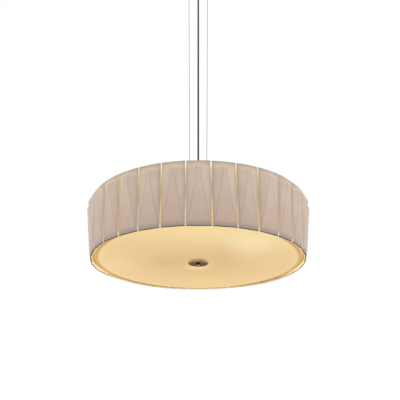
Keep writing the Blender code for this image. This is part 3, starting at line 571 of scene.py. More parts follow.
def drum_finish():
    """Lit opal sheet: brightest at its ends, dimmer between."""
    finish = Finish("lit_opal_sheet", seen(76, 66, 48), 0.42)
    place = finish.place()
    low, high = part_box("opal_drum")
    x, y, z = finish.parts(place)
    share = finish.straight(z, low.z, high.z)
    colour = finish.stops(share, lit, [
        (0.0, 250, 232, 176), (0.15, 240, 214, 160), (0.32, 230, 200, 150), (0.48, 206, 174, 136),
        (0.64, 200, 168, 132), (0.80, 228, 204, 152), (0.94, 240, 220, 162), (1.0, 252, 240, 188)])
    cloud = finish.noise(place, 5.0, 2.0)
    colour = finish.tinged(colour, cloud, 0.35, 0.65, 0.25, lit(232, 202, 148))
    # the lamps stand away from the two sides, which are dim above the lower third
    dim = finish.times(finish.fade(finish.math("ABSOLUTE", x), 0.196, 0.208),
                       finish.fade(share, 0.22, 0.38))
    dim = finish.times(dim, finish.fall(y, 0.0, 0.05))
    colour = finish.mix(dim, colour, lit(150, 128, 112))
    finish.glow(colour)
    finish.bump(finish.noise(place, 240.0, 2.0), 0.0001, 0.4)
    return finish.material


def rim_finish():
    """The dish's rounded edge and rim: brightest where it turns up, by the light along the glass."""
    finish = Finish("lit_opal_rim", seen(60, 48, 30), 0.3)
    finish.set("Specular IOR Level", 0.2)
    place = finish.own_place()
    y, height = finish.parts(place)[1:]
    turn = DISH_CROWN + DISH_ROUND
    rise = finish.straight(height, 0.0, DISH_CROWN + DISH_RIM)
    share = 1.0 / (DISH_CROWN + DISH_RIM)
    colour = finish.stops(rise, lit, [
        (0.0, 202, 166, 115), (0.0042 * share, 204, 169, 117), (0.0080 * share, 213, 180, 128),
        ((turn - 0.0005) * share, 226, 194, 140), ((turn + 0.0030) * share, 234, 205, 155),
        (1.0, 222, 188, 138)])
    # painted light brightens the front, and painted shade darkens the back to orange
    colour = finish.mix(finish.fade(y, *PAINTED_SHADE_FROM), lit(236, 208, 154), colour)
    colour = finish.mix(finish.fade(y, 0.16, 0.24, 0.0, 0.9), colour, lit(172, 128, 68))
    cloud = finish.noise(place, 6.0, 2.0)
    finish.glow(finish.tinged(colour, cloud, 0.35, 0.65, 0.2, lit(226, 192, 140)))
    return finish.material


def dish_finish():
    """Lit opal glass: patches of light from the lamps above, and painted shade on its rounded edge towards
    the back.
    """
    finish = Finish("lit_opal_glass", seen(60, 48, 30), 0.22)
    finish.set("Specular IOR Level", 0.2)
    place = finish.own_place()
    x, y, z = finish.parts(place)
    radius = finish.off_axis(x, y)
    drift = finish.noise(place, 4.5, 2.0)
    colour = finish.stops(finish.straight(radius, 0.0, DISH_RADIUS), lit, [
        (0.0, 228, 194, 143), (0.18, 222, 189, 141), (0.55, 228, 196, 147), (0.85, 232, 201, 151),
        (0.95, 236, 207, 153)])
    # painted patches of light and shade that the lamps and the arms throw on the glass, and painted sheen
    # beside the finial
    patches = [
        ((0.0, -0.235), (0.17, 0.085), lit(244, 218, 163), 0.9),
        ((0.125, -0.150), (0.085, 0.085), lit(246, 226, 178), 0.9),
        ((0.215, 0.030), (0.055, 0.10), lit(232, 200, 147), 0.7),
        ((-0.235, 0.040), (0.06, 0.10), lit(241, 211, 161), 0.7),
        ((0.020, 0.215), (0.14, 0.08), lit(237, 206, 148), 0.85),
        ((-0.070, 0.010), (0.055, 0.050), lit(217, 182, 134), 0.85),
        ((0.058, -0.045), (0.045, 0.10), lit(220, 185, 136), 0.75),
        ((0.0, 0.045), (0.05, 0.03), lit(233, 200, 149), 0.7),
        ((-0.006, 0.058), (0.026, 0.014), lit(250, 226, 166), 0.7),
        ((0.0, -0.031), (0.026, 0.012), seen(214, 182, 134), 0.85),
    ]
    for (at_x, at_y), (wide, deep), patch, share in patches:
        off_x = finish.math("DIVIDE", finish.math("SUBTRACT", x, at_x), wide)
        off_y = finish.math("DIVIDE", finish.math("SUBTRACT", y, at_y), deep)
        near = finish.math("EXPONENT", finish.times(finish.squares(off_x, off_y), -1.0))
        colour = finish.mix(finish.times(near, share), colour, patch)
    colour = finish.tinged(colour, drift, 0.35, 0.65, 0.10, lit(244, 213, 156))
    # painted shade on the rounded edge, from the front backwards
    painted_shade_edge = finish.times(finish.fade(radius, 0.2652, 0.2678), finish.fade(y, *PAINTED_SHADE_FROM))
    colour = finish.mix(painted_shade_edge, colour, lit(202, 166, 115))
    # the side that the lamps shine on
    crown = DISH_CROWN / (DISH_RADIUS - DISH_ROUND) ** 2
    wall = finish.math("SUBTRACT", z, finish.times(finish.times(radius, radius), crown))
    inside = finish.stops(finish.straight(radius, 0.0, DISH_RADIUS), lit, [
        (0.0, 242, 216, 168), (0.35, 252, 232, 188), (0.75, 246, 220, 170), (1.0, 236, 204, 152)])
    colour = finish.mix(finish.fade(wall, 0.0016, 0.0028), colour, inside)
    finish.glow(colour)
    finish.bump(finish.noise(place, 60.0, 2.0), 0.0001, 0.3)
    return finish.material


def bulb_finish():
    """Frosted glass, lit from within and dimmer towards the neck."""
    finish = Finish("lit_frosted_glass", seen(96, 92, 82), 0.4)
    z = finish.parts(finish.own_place())[2]
    frost = finish.noise(finish.own_place(), 700.0, 2.0)
    glow = finish.stops(finish.straight(z, 0.03, 0.105), seen, [
        (0.0, 214, 168, 108), (0.30, 246, 214, 156), (0.60, 252, 232, 190), (1.0, 248, 228, 184)])
    finish.glow(finish.tinged(glow, frost, 0.3, 0.7, 0.2, seen(255, 230, 180)))
    finish.bump(frost, 0.00005, 0.5)
    return finish.material


def round_marks(finish, place):
    """Fine marks that run round an axis."""
    return finish.noise(finish.stretch(place, (60.0, 60.0, 2600.0)), 1.0, 3.0, 0.6)


def metal_finish(name, colour, wear_and_painted_light, roughness):
    """Metal with fine marks round its axis, and a tone that drifts a little."""
    finish = Finish(name, roughness=roughness, metallic=1.0)
    place = finish.own_place()
    marks = round_marks(finish, place)
    drift = finish.noise(place, 90.0, 2.0)
    tone = finish.mix(finish.straight(drift, 0.3, 0.7), colour, wear_and_painted_light)
    finish.set("Base Color", finish.tinged(tone, marks, 0.35, 0.7, 0.35, wear_and_painted_light))
    finish.set("Roughness", finish.straight(marks, 0.3, 0.7, roughness * 0.8, roughness * 1.25))
    finish.bump(marks, 0.00003, 0.5)
    return finish.material


def bronze_disc_finish():
    """Dark bronze, spun, with marks that run round the disc and a painted reflection that makes its flared
    edge pale.
    """
    finish = Finish("spun_dark_bronze", roughness=0.3, metallic=1.0)
    finish.set("Specular Tint", seen(213, 190, 164))
    place = finish.own_place()
    x, y, z = finish.parts(place)
    radius = finish.off_axis(x, y)
    rings = finish.noise(finish.node("CombineXYZ", {0: finish.times(radius, 2200.0)}), 1.0, 2.0)
    drift = finish.noise(place, 60.0, 3.0)
    tone = finish.mix(finish.straight(drift, 0.3, 0.7), seen(148, 128, 122), seen(178, 154, 146))
    tone = finish.tinged(tone, rings, 0.35, 0.65, 0.3, seen(110, 92, 86))
    # painted shade round the knob
    tone = finish.mix(finish.fall(radius, 0.0052, 0.0090, 0.9), tone, seen(66, 58, 54))
    foot = FINIAL_TOP - FINIAL_THICKNESS
    # painted reflection: the flared edge pale with the lit glass it faces
    edge = finish.fade(z, foot + 0.0002, foot + 0.0009)
    wear_and_painted_light = finish.mix(finish.straight(drift, 0.35, 0.65), seen(176, 150, 124), seen(214, 198, 184))
    finish.set("Base Color", finish.mix(edge, tone, wear_and_painted_light))
    finish.set("Roughness", finish.straight(rings, 0.3, 0.7, 0.12, 0.19))
    finish.bump(rings, 0.00002, 0.4)
    return finish.material


def knob_finish():
    """Dark bronze gone nearly black, with a painted highlight, a pale band round the groove above the tip."""
    finish = Finish("knob_bronze_painted_highlight", roughness=0.42, metallic=1.0)
    finish.set("Specular Tint", seen(150, 130, 112))
    place = finish.own_place()
    z = finish.parts(place)[2]
    marks = round_marks(finish, place)
    dark = finish.mix(finish.straight(marks, 0.35, 0.7), seen(112, 106, 104), seen(136, 126, 120))
    tip = FINIAL_TOP - FINIAL_THICKNESS - 0.0079
    # painted highlight: a pale band above the tip
    painted_highlight = finish.times(finish.fade(z, tip + 0.0014, tip + 0.0020),
                        finish.fall(z, tip + 0.0033, tip + 0.0038))
    finish.set("Base Color", finish.mix(painted_highlight, dark, seen(226, 198, 180)))
    finish.set("Roughness", finish.straight(marks, 0.3, 0.7, 0.34, 0.48))
    finish.bump(marks, 0.00003, 0.5)
    return finish.material


def cable_finish():
    """Steel cable: wires laid in a long twist."""
    finish = Finish("steel_wire_rope", roughness=0.32, metallic=1.0)
    x, y, z = finish.parts(finish.own_place())
    turn = finish.math("ARCTAN2", y, x)
    lay = finish.math("ADD", finish.times(turn, 6.0), finish.times(z, 2200.0))
    wires = finish.halved(finish.math("SINE", lay))
    dull = finish.noise(finish.own_place(), 40.0, 2.0)
    tone = finish.mix(dull, seen(62, 59, 53), seen(84, 80, 72))
    finish.set("Base Color", finish.mix(finish.straight(wires, 0.0, 0.6, 0.7, 0.0), tone, seen(34, 32, 28)))
    finish.set("Roughness", finish.straight(wires, 0.0, 1.0, 0.5, 0.28))
    finish.bump(wires, 0.00012, 0.9)
    return finish.material


def cord_finish():
    """Dark brown jacket with a fine twist."""
    finish = Finish("brown_cord_jacket", roughness=0.55)
    finish.set("Specular IOR Level", 0.1)
    x, y, z = finish.parts(finish.own_place())
    turn = finish.math("ARCTAN2", y, x)
    turn = finish.times(turn, 8.0)
    along = finish.times(z, 2500.0)
    one_way, other_way = [finish.math("SINE", finish.math(sign, turn, along)) for sign in ("ADD", "SUBTRACT")]
    braid = finish.halved(finish.times(one_way, other_way))
    # painted shade: the jacket darkens towards the ceiling
    fade = finish.straight(z, -0.75, 0.0)
    tone = finish.mix(fade, seen(84, 56, 34), seen(50, 36, 25))
    finish.set("Base Color", finish.mix(finish.straight(braid, 0.0, 1.0, 0.45, 0.0), tone, seen(38, 28, 20)))
    finish.set("Roughness", finish.straight(braid, 0.0, 1.0, 0.7, 0.48))
    finish.bump(braid, 0.0001, 0.7)
    return finish.material


def coat_finish(name, colour, second, roughness, grain=900.0):
    """Paint or moulded plastic: fine orange peel and a slow drift of tone."""
    finish = Finish(name, roughness=roughness)
    place = finish.place()
    peel = finish.noise(place, grain, 2.0)
    drift = finish.noise(place, 18.0, 3.0)
    tone = finish.mix(finish.straight(drift, 0.3, 0.7), colour, second)
    finish.set("Base Color", tone)
    finish.set("Roughness", finish.straight(peel, 0.3, 0.7, roughness * 0.85, roughness * 1.15))
    finish.bump(peel, 0.00006, 0.7)
    return finish.material


def half_width_at(drop):
    """Half the width of a tile at a drop below its top."""
    return (SHADE_RADIUS - SHADE_TAPER * drop / TILE_HEIGHT) * math.sin(HALF_PITCH) - TILE_SPACE / 2


def plane_at(drop):
    """Distance from the axis to a tile's flat plane, at a drop below its top."""
    return (SHADE_RADIUS - SHADE_TAPER * drop / TILE_HEIGHT) * math.cos(HALF_PITCH)


def rise_at(drop):
    """How far the ridge stands out of that plane."""
    share = (drop - RIDGE_DROP) / (FOOT_DROP - RIDGE_DROP)
    return RIDGE_RISE + (RIDGE_FOOT_RISE - RIDGE_RISE) * share


def tile_face():
    """The tile's face: a grid of five rows and four columns, drawn out to the relief."""
    deselect()
    bpy.ops.mesh.primitive_grid_add(x_subdivisions=3, y_subdivisions=4, size=1.0,
                                    rotation=(QUARTER, 0.0, 0.0))
    tile = named("tile_pattern")
    bpy.ops.object.transform_apply(location=True, rotation=True, scale=True)
    straight_end = RIDGE_DROP + RIDGE_STRAIGHT
    foot_half = half_width_at(FOOT_DROP) - FOOT_INSET
    rows = [
        (0.0, 0.0, RIDGE_HALF_WIDTH, TOP_EDGE_BOW),
        (RIDGE_DROP, 0.0, RIDGE_HALF_WIDTH, RIDGE_RISE),
        (straight_end, 0.0, RIDGE_HALF_WIDTH, rise_at(straight_end)),
        (FOOT_DROP, 0.0, foot_half, RIDGE_FOOT_RISE),
        (TILE_HEIGHT, -FOOT_TURN_IN, foot_half, -FOOT_TURN_IN),
    ]
    edit(tile)
    for row, (drop, side_rise, ridge_half, ridge_rise) in enumerate(rows):
        start_z = 0.5 - row / 4
        for start_x, half, rise in ((0.5, half_width_at(drop), side_rise), (1 / 6, ridge_half, ridge_rise)):
            pick(tile, "VERT", lambda v: abs(v.co.z - start_z) < SMALL and abs(abs(v.co.x) - start_x) < SMALL)
            bpy.ops.transform.resize(value=(half / start_x, 1.0, 1.0), center_override=(0.0, 0.0, 0.0))
            bpy.ops.transform.translate(value=(0.0, -plane_at(drop) - rise, -drop - start_z))
    # soften the ridge and the foot line, as slip and glaze do
    side = half_width_at(TILE_HEIGHT) - SMALL

    def soft(edge):
        high, low = sorted(-v.co.z for v in edge.verts)
        level = low - high < SMALL
        inside = level or all(abs(v.co.x) < side for v in edge.verts)
        return inside and high > SMALL and (not level or low < TILE_HEIGHT - SMALL)

    pick(tile, "EDGE", soft)
    bpy.ops.mesh.bevel(offset=0.0016, segments=3, profile=0.5, affect="EDGES")
    select_all()
    bpy.ops.mesh.subdivide(number_cuts=2)
    bpy.ops.mesh.remove_doubles(threshold=SMALL)
    leave_edit()
    return tile


def tile_pattern():
    """One tile at the front: the face given its wall, with hook and bumper on its back."""
    tile = tile_face()
    apply_modifier(tile, "SOLIDIFY", thickness=TILE_WALL, offset=-1.0, use_even_offset=True)
    ease_edges(tile, 0.0011, 3, 50.0)

    seat = -0.0042
    root = -plane_at(0.0042)
    lip_front = -0.25675
    lip_back = lip_front + 0.0045
    hook = block("hook", (-0.0110, root, seat), (0.0110, lip_back, -0.0005))
    edit(hook)
    select_all()
    bpy.ops.mesh.bisect(plane_co=(0.0, lip_front, 0.0), plane_no=(0.0, 1.0, 0.0))
    pick(hook, "FACE", lambda f: f.normal.z < -0.9 and f.calc_center_median().y > lip_front)
    bpy.ops.mesh.extrude_region_move(TRANSFORM_OT_translate={"value": (0.0, 0.0, -0.0060)})
    leave_edit()
    ease_edges(hook, 0.0008, 2, 40.0)

    drop = 0.1100
    tip = -0.2711
    back = -(plane_at(drop) + rise_at(drop) - TILE_WALL / 2)
    bumper = block("bumper", (-0.0050, back, -drop - 0.0050), (0.0050, tip, -drop + 0.0050))
    edit(bumper)
    pick(bumper, "FACE", lambda f: f.normal.y > 0.9)
    bpy.ops.transform.resize(value=(0.8, 1.0, 0.6), center_override=(0.0, tip, -drop))
    leave_edit()
    ease_edges(bumper, 0.0006, 2, 40.0)
    return joined(tile, [hook, bumper])


def warp(tile, left, right):
    """Skew a tile's two sides with a lattice, by the strays of the gaps beside it."""
    wide = 2 * half_width_at(0.0)
    deselect()
    bpy.ops.object.add(type="LATTICE", location=(0.0, -0.278, -TILE_HEIGHT / 2))
    cage = bpy.context.active_object
    cage.scale = (wide, 0.08, TILE_HEIGHT)
    for axis in "uvw":
        setattr(cage.data, f"interpolation_type_{axis}", "KEY_LINEAR")
    for point in cage.data.points:
        top_side, foot_side, top_up, foot_up = left if point.co.x < 0.0 else right
        side, up = (top_side, top_up) if point.co.z > 0.0 else (foot_side, foot_up)
        point.co_deform = point.co + Vector((side / wide, 0.0, up / TILE_HEIGHT))
    bpy.context.view_layer.update()
    apply_modifier(tile, "LATTICE", object=cage)
    discard(cage)


def gap_stray(number):
    """The strays of the gap to the right of a tile, by the tile's number from the front."""
    gap = number if number <= TILE_COUNT // 2 else number - TILE_COUNT - 1
    if gap in GAP_STRAY:
        return [part / TENTHS_PER_METRE for part in GAP_STRAY[gap]]
    drawn = random.Random(number)
    return (drawn.uniform(-0.0020, 0.0020), drawn.uniform(-0.0020, 0.0020), 0.0, 0.0)


def make_tiles(glaze, clay):
    """Thirty tiles from one, each with its own skew, unevenness and firing."""
    pattern = tile_pattern()
    two_finishes(pattern, glaze, clay, lambda face: abs(face.normal.x) > 0.8 or face.normal.y > 0.6
                 or face.center.y > -0.2760)
    clouds = bpy.data.textures.new("slip_unevenness", "CLOUDS")
    clouds.noise_scale = 0.035
    for number in range(1, TILE_COUNT + 1):
        tile = copied(pattern, f"glazed_tile_{number:02d}")
        layer = tile.data.attributes.new("own_place", "FLOAT_VECTOR", "POINT")
        for entry, vertex in zip(layer.data, tile.data.vertices):
            entry.vector = (vertex.co.x, -vertex.co.z, 0.37 * number)
        left = gap_stray(number - 1 if number > 1 else TILE_COUNT)
        warp(tile, left, gap_stray(number))
        settle(tile, (0.0, 0.0, SHADE_TOP), (0.0, 0.0, 2 * HALF_PITCH * (number - 1)))
        apply_modifier(tile, "DISPLACE", texture=clouds, texture_coords="LOCAL",
                       strength=0.0009, mid_level=0.5)
        hang(tile, "pendant", None, [f"tile_{number:02d}"], 24.0)
    discard(pattern)


def make_drum(finish):
    """The opal drum."""
    low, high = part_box("opal_drum")
    inner = DRUM_RADIUS - 0.0020
    profile = [(inner, low.z), (DRUM_RADIUS, low.z), (DRUM_RADIUS, high.z), (inner, high.z)]
    drum = turned("drum_sheet", profile, 120)
    ease_edges(drum, 0.0004, angle=30.0)
    hang(drum, "pendant", finish, ["opal_drum"], 30.0)


def make_dish(floor_finish, rim_glow):
    """The opal dish: crowned floor, rounded edge and upright rim."""
    edge = DISH_RADIUS - DISH_ROUND
    stations = [FINIAL_HOLE + (edge - FINIAL_HOLE) * step / 14 for step in range(15)]
    floor = [(r, DISH_CROWN * (r / edge) ** 2) for r in stations]
    centre = (edge, DISH_CROWN + DISH_ROUND)
    rim = DISH_CROWN + DISH_RIM
    outside = arc(centre, DISH_ROUND, -90.0, 0.0, 12)[1:]
    inside = arc(centre, DISH_ROUND - DISH_WALL, 0.0, -90.0, 8)
    lip = arc((DISH_RADIUS - DISH_WALL / 2, rim - DISH_WALL / 2), DISH_WALL / 2, 0.0, 180.0, 6)
    profile = floor + outside + lip + inside + [(r, z + DISH_WALL) for r, z in reversed(floor[:-1])]
    dish = turned("dish_glass", profile, 120)
    remember_place(dish)
    two_finishes(dish, floor_finish, rim_glow,
                 lambda face: face.center.z > centre[1] - 0.0082 and face.center.xy.length > edge)
    settle(dish, (0.0, 0.0, DISH_BASE), (-DISH_TILT, 0.0, 0.0))
    hang(dish, "diffuser", None, ["diffuser_dish"], 50.0)


def make_finial(disc_bronze, knob_bronze):
    """The flared disc under the glass, and the knob that holds it up."""
    top = FINIAL_TOP
    radius = 0.0270
    foot = top - FINIAL_THICKNESS
    edge = arc((radius - 0.0030, foot + 0.0030), 0.0030, 0.0, -90.0, 8)
    profile = [(FINIAL_HOLE, top), (0.0228, top), (0.0234, top - 0.0006)] + edge + [(FINIAL_HOLE, foot)]
    disc = turned("finial_plate", profile, 72)
    remember_place(disc)
    hang(disc, "diffuser", disc_bronze, ["finial_disc"])
    top = foot - SEAT_GAP
    tip = top - 0.0076
    ball = arc((0.0, tip + 0.0020), 0.0036, 0.0, -90.0, 8)
    ball = [(r, tip + (z - tip + 0.0016) * 0.0020 / 0.0036) for r, z in ball]
    profile = drawn(top, (0, -46), (33, -46), (33, 0), (45, 0), (48, -4), (48, -40), (45, -44), (37, -47),
                    (37, -55))
    knob = turned("finial_knob_grip", profile + ball, 40, closed=False)
    remember_place(knob)
    hang(knob, "finial", knob_bronze, ["finial_knob"])


def make_canopy(bronze):
    """The spun canopy."""
    top = -SEAT_GAP
    canopy = turned("canopy_cup", cup_profile(0.0625, 0.0059, top - 0.0260, top, 0.0012, 0.0080, 10), 96)
    ease_edges(canopy, angle=40.0)
    remember_place(canopy)
    hang(canopy, "ceiling", bronze, ["canopy"])


def make_grippers(nickel):
    """The two cable grippers and their release collars."""
    top = -0.0266
    bottom = top - 0.0240
    profile = (drawn(0.0, (0, -43), (30, -43))
               + drawn(top, (30, 0), (47, 0), (55, -8), (55, -70), (52, -74), (55, -78))
               + drawn(bottom, (55, 30), (42, 0), (34, 0), (34, 83), (0, 83)))
    collar = drawn(0.0, (0, 100), (30, 100), (30, 15), (42, 13), (42, 3), (39, 0), (11, 0), (11, 40),
                   (0, 40))
    for word, side in SIDES:
        gripper = fitting(f"gripper_{word}", profile, at=(side * GRIPPER_OFFSET, 0.0, 0.0))
        hang(gripper, "ceiling", nickel, [f"cable_gripper_{word}"])
        press = fitting(f"release_{word}_collar", collar, width=0.0002,
                        at=(side * GRIPPER_OFFSET, 0.0, SWING))
        hang(press, f"release_{word}", nickel, [f"release_collar_{word}"])


def make_anchors(nickel):
    """The two sockets on the hub that hold the cables' feet."""
    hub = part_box("spider")[1].z
    profile = drawn(0.0, (0, -90), (20, -90), (20, 3), (40, 3), (40, 93), (18, 123), (9, 123), (9, 63),
                    (0, 63))
    for word, side in SIDES:
        anchor = fitting(f"anchor_{word}", profile, 32, at=(side * ANCHOR_OFFSET, 0.0, hub))
        hang(anchor, "pendant", nickel, [f"cable_anchor_{word}"])


def make_cords(steel, jacket):
    """The two cables and the cord, each drawn out straight from a small circle."""
    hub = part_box("spider")[1].z
    foot = hub + 0.0066
    top = SWING + 0.0010
    for word, side in SIDES:
        start = Vector((side * GRIPPER_OFFSET, 0.0, top))
        end = Vector((side * ANCHOR_OFFSET, 0.0, foot))
        length = (end - start).length
        tilt = math.atan2(end.x - start.x, start.z - end.z)
        cable = strand(f"steel_cable_{word}", CABLE_RADIUS, length, 12, 60)
        settle(cable, start, (0.0, -tilt, 0.0))
        hang(cable, "pendant", steel, [f"suspension_cable_{word}"], 60.0)
    low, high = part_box("supply_cord")
    cord = strand("cord_jacket_run", CORD_RADIUS, high.z - low.z, 24, 60)
    settle(cord, (0.0, 0.0, high.z))
    hang(cord, "pendant", jacket, ["supply_cord"], 60.0)
    low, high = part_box("cord_tail")
    tail = strand("cord_jacket_tail", CORD_RADIUS, high.z - low.z, 24, 4)
    settle(tail, (0.0, 0.0, high.z))
    hang(tail, "ceiling", jacket, ["cord_tail"], 60.0)


def strand(name, radius, length, steps, runs):
    """A round strand from the origin down, with its own place kept on it."""
    deselect()
    bpy.ops.mesh.primitive_circle_add(vertices=steps, radius=radius, fill_type="NGON",
                                      location=(0.0, 0.0, 0.0))
    piece = named(name)
    bpy.ops.object.mode_set(mode="EDIT")
    select_all()
    for run in range(runs):
        bpy.ops.mesh.extrude_region_move(TRANSFORM_OT_translate={"value": (0.0, 0.0, -length / runs)})
    select_all()
    bpy.ops.mesh.normals_make_consistent(inside=False)
    leave_edit()
    remember_place(piece)
    return piece


def make_grips(plastic, bronze):
    """The strain relief under the canopy and the gland on the hub."""
    profile = drawn(-0.0263, (31, 45), (90, 45), (90, 15), (56, 15), (56, -3), (80, -3), (80, -43),
                    (62, -60), (65, -75), (57, -92), (60, -107), (52, -124), (55, -139), (47, -156),
                    (50, -171), (43, -188), (45, -203)) + drawn(SWING, (42, 0), (31, 0))
    grip = turned("strain_relief", profile, 40)
    ease_edges(grip)
    hang(grip, "ceiling", plastic, ["canopy_cord_grip"])
    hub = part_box("spider")[1].z
    profile = drawn(hub, (28, -110), (47, -110), (47, 3), (80, 3), (80, 93), (66, 112), (47, 123),
                    (28, 123))
    gland = fitting("hub_gland", profile, 36, closed=True)
    hang(gland, "pendant", bronze, ["hub_cord_gland"])


def make_lamps(plastic, glass, nickel):
    """Three lamp holders on the cup's side, and a bulb in each."""
    start = 0.0283
    holder = drawn(0.0, (0, 0), (60, 0), (60, 80), (120, 90), (170, 130), (190, 180), (190, 300),
                   (183, 305), (183, 345), (190, 350), (190, 550), (170, 570), (135, 570), (135, 300),
                   (0, 300))
    screw = []
    for turn in range(6):
        rise = 0.0036 * turn
        screw += [(0.0131, 0.0050 + rise), (0.0131, 0.0062 + rise), (0.0122, 0.0080 + rise)]
    bulb = (drawn(0.0, (0, 0), (45, 0), (50, 8), (62, 14), (120, 40)) + screw
            + drawn(0.0, (131, 290), (139, 312), (151, 345), (185, 440))
            + arc((0.0, 0.0750), 0.0300, -38.0, 90.0, 18))
    bulb[-1] = (0.0, 0.1050)
    for number in range(3):
        azimuth = third(number, HALF_PITCH)
        turn = (QUARTER, 0.0, azimuth)
        socket = turned(f"lamp_socket_{number + 1}", holder, 40, closed=False)
        ease_edges(socket, 0.0005)
        settle(socket, azimuth_point(azimuth, start, LAMP_HEIGHT), turn)
        hang(socket, "pendant", plastic, [f"lamp_holder_{number + 1}"])
        lamp = turned(f"frosted_bulb_{number + 1}", bulb, 48, closed=False)
        remember_place(lamp)
        two_finishes(lamp, glass, nickel, lambda face: face.center.z < 0.0300)
        settle(lamp, azimuth_point(azimuth, start + 0.0303, LAMP_HEIGHT), turn)
        body = ("bulb_one", "bulb_two", "bulb_three")[number]
        hang(lamp, body, None, [f"bulb_{number + 1}"], 50.0)


def make_core(paint, nickel):
    """The cup under the hub, and the stem through it."""
    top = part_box("cluster_cup")[1].z
    base = top - 0.0500
    cup = turned("lamp_cup", cup_profile(0.0280, 0.0051, base, top, 0.0014, 0.0060, 8), 64)
    ease_edges(cup, angle=40.0)
    hang(cup, "pendant", paint, ["cluster_cup"])
    low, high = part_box("stem")
    collar = DISH_BASE + DISH_WALL + SEAT_GAP
    profile = (drawn(high.z, (0, 0), (48, 0)) + drawn(base, (48, 57), (80, 57), (80, 17), (48, 17))
               + drawn(collar, (48, 30), (100, 30), (100, 0), (30, 0)) + drawn(low.z, (30, 0), (0, 0)))
    stem = fitting("stem_rod", profile, 36, 0.0004)
    hang(stem, "pendant", nickel, ["stem"])


def make_frame(paint):
    """The top and bottom rings and the uprights between them."""
    outer = RING_RADIUS
    inner = outer - RING_WIDTH
    low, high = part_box("top_ring")
    ring = turned("tile_ring", [(inner, low.z), (outer, low.z), (outer, high.z), (inner, high.z)], 120)
    ease_edges(ring, 0.0005, angle=30.0)
    hang(ring, "pendant", paint, ["top_ring"])
    low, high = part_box("bottom_frame")
    base = low.z
    profile = [(inner, base), (LEDGE_RADIUS, base), (LEDGE_RADIUS, base + 0.0015), (outer, base + 0.0015),
               (outer, base + 0.0055), (inner, base + 0.0055)]
    ring = turned("drum_ring", profile, 120)
    ease_edges(ring, 0.0004, angle=30.0)
    posts = []
    for number in range(3):
        post = turned(f"post_{number}", [(0.0, base + 0.0030), (0.0025, base + 0.0030), (0.0025, high.z),
                                         (0.0, high.z)], 20, closed=False)
        ease_edges(post, 0.0004, angle=30.0)
        settle(post, azimuth_point(third(number, HALF_PITCH), (inner + outer) / 2))
        posts.append(post)
    ring = joined(ring, posts)
    hang(ring, "pendant", paint, ["bottom_frame"])


def make_screws(nickel):
    """Pan-head screws that hold the top ring down on the spider's arms."""
    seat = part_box("top_ring")[1].z + SEAT_GAP
    dome = [(0.0030 * math.cos(a), 0.0007 + 0.0011 * math.sin(a)) for a in
            (math.radians(step * 15.0) for step in range(7))]
    head = turned("arm_screw", [(0.0, 0.0), (0.0030, 0.0)] + dome[:-1] + [(0.0, 0.0018)], 32, closed=False)
    for number, (wide, deep) in enumerate(((0.0034, 0.0006), (0.0006, 0.0034))):
        recess = block(f"recess_{number}", (-wide / 2, -deep / 2, 0.0009), (wide / 2, deep / 2, 0.0030))
        apply_modifier(head, "BOOLEAN", object=recess, operation="DIFFERENCE", solver="EXACT")
        discard(recess)
    remember_place(head)
    for number in range(3):
        screw = copied(head, f"arm_screw_{number + 1}")
        azimuth = third(number, ARM_AZIMUTH)
        settle(screw, azimuth_point(azimuth, SCREW_CIRCLE, seat), (0.0, 0.0, azimuth + 0.5 * number))
        hang(screw, "pendant", nickel, (), 30.0)
    discard(head)


def light_and_camera():
    """White surroundings, two broad soft lamps from the sides, one from above, and the camera."""
    world = bpy.data.worlds.new("white_studio")
    bpy.context.scene.world = world
    world.use_nodes = True
    tree = world.node_tree
    tree.nodes.clear()
    output = tree.nodes.new("ShaderNodeOutputWorld")
    shown = tree.nodes.new("ShaderNodeBackground")
    shown.inputs[0].default_value = WHITE
    shown.inputs[1].default_value = 1.0
    soft = tree.nodes.new("ShaderNodeBackground")
    soft.inputs[0].default_value = (1.0, 0.995, 0.985, 1.0)
    soft.inputs[1].default_value = 0.38
    rays = tree.nodes.new("ShaderNodeLightPath")
    first, second = [tree.nodes.new("ShaderNodeMath") for ray in range(2)]
    first.operation = second.operation = "MAXIMUM"
    mix = tree.nodes.new("ShaderNodeMixShader")
    tree.links.new(rays.outputs["Is Camera Ray"], first.inputs[0])
    tree.links.new(rays.outputs["Is Glossy Ray"], first.inputs[1])
    tree.links.new(first.outputs[0], second.inputs[0])
    tree.links.new(rays.outputs["Is Transmission Ray"], second.inputs[1])
    tree.links.new(second.outputs[0], mix.inputs[0])
    tree.links.new(soft.outputs[0], mix.inputs[1])
    tree.links.new(shown.outputs[0], mix.inputs[2])
    tree.links.new(mix.outputs[0], output.inputs[0])

    aim = Vector((0.0, 0.0, SHADE_TOP - TILE_HEIGHT / 2))
    lamps = [
        ("soft_left", (-3.1, -1.5, 0.35), 2.2, 68.0),
        ("soft_right", (3.1, -1.6, 0.25), 2.2, 68.0),
        ("soft_front", (0.3, -3.2, 1.3), 2.4, 33.0),
        ("soft_back", (0.2, 3.2, 1.0), 2.4, 50.0),
    ]
    for name, at, size, power in lamps:
        data = bpy.data.lights.new(name, "AREA")
        data.shape = "SQUARE"
        data.size = size
        data.energy = power
        data.color = (1.0, 0.985, 0.965)
        lamp = bpy.data.objects.new(name, data)
        lamp.location = at
        lamp.rotation_euler = (aim - Vector(at)).to_track_quat("-Z", "Y").to_euler()
        lamp.visible_glossy = False
        bpy.context.scene.collection.objects.link(lamp)

    data = bpy.data.cameras.new("camera")
    data.sensor_width = 36.0
    data.lens = CAMERA_LENS
    data.shift_x, data.shift_y = CAMERA_SHIFT
    data.clip_end = 60.0
    camera = bpy.data.objects.new("camera", data)
    camera.location = CAMERA_PLACE
    camera.rotation_euler = (QUARTER + CAMERA_PITCH, 0.0, 0.0)
    bpy.context.scene.collection.objects.link(camera)
    bpy.context.scene.camera = camera
    bpy.context.scene.view_settings.view_transform = "Standard"


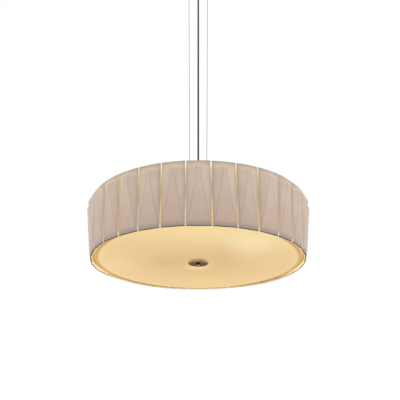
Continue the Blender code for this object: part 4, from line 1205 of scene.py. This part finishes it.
def make_floor():
    """A plain pale floor, a room's height below the ceiling, that goes white with distance."""
    deselect()
    bpy.ops.mesh.primitive_plane_add(size=30.0, location=(0.0, 0.0, FLOOR_HEIGHT))
    floor = named("floor")
    bpy.ops.object.transform_apply(location=True, rotation=True, scale=True)
    finish = Finish("pale_floor", roughness=0.8)
    shade = finish.noise(finish.place(), 3.0, 3.0)
    finish.set("Base Color", finish.mix(shade, (0.84, 0.835, 0.825, 1.0), (0.88, 0.875, 0.865, 1.0)))
    x, y = finish.parts(finish.place())[:2]
    away = finish.off_axis(x, y)
    rays = finish.node("LightPath", {}, output="Is Camera Ray")
    share = finish.times(finish.fade(away, 0.8, 3.6, 0.4, 1.0), rays)
    white = finish.node("Emission", {"Color": WHITE, "Strength": 1.0})
    shown = finish.node("MixShader", {0: share, 1: finish.shader.outputs[0], 2: white})
    finish.give(finish.tree.nodes["Material Output"].inputs[0], shown)
    floor.data.materials.append(finish.material)


paint = coat_finish("off_white_coat", seen(222, 216, 203), seen(230, 225, 213), 0.5)
plastic = coat_finish("black_moulding", seen(38, 37, 36), seen(48, 46, 44), 0.42, 1400.0)
terminal = coat_finish("off_white_moulding", seen(226, 222, 212), seen(216, 211, 198), 0.45, 1400.0)
nickel = metal_finish("satin_nickel", seen(176, 172, 164), seen(200, 196, 188), 0.28)
bronze = metal_finish("dark_bronze", seen(62, 48, 38), seen(86, 68, 54), 0.36)
jacket = cord_finish()

light_and_camera()
make_floor()
make_tiles(glaze_finish(), clay_finish())
make_drum(drum_finish())
make_dish(dish_finish(), rim_finish())
make_finial(bronze_disc_finish(), knob_finish())
make_canopy(bronze)
make_grippers(nickel)
make_anchors(nickel)
make_cords(cable_finish(), jacket)
make_grips(plastic, bronze)
make_lamps(plastic, bulb_finish(), nickel)
make_core(paint, nickel)
make_frame(paint)
make_screws(nickel)

for node, finish in (("ceiling_bracket", paint), ("spider", paint), ("terminal_block", terminal)):
    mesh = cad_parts[node].data
    mesh.materials.clear()
    mesh.materials.append(finish)
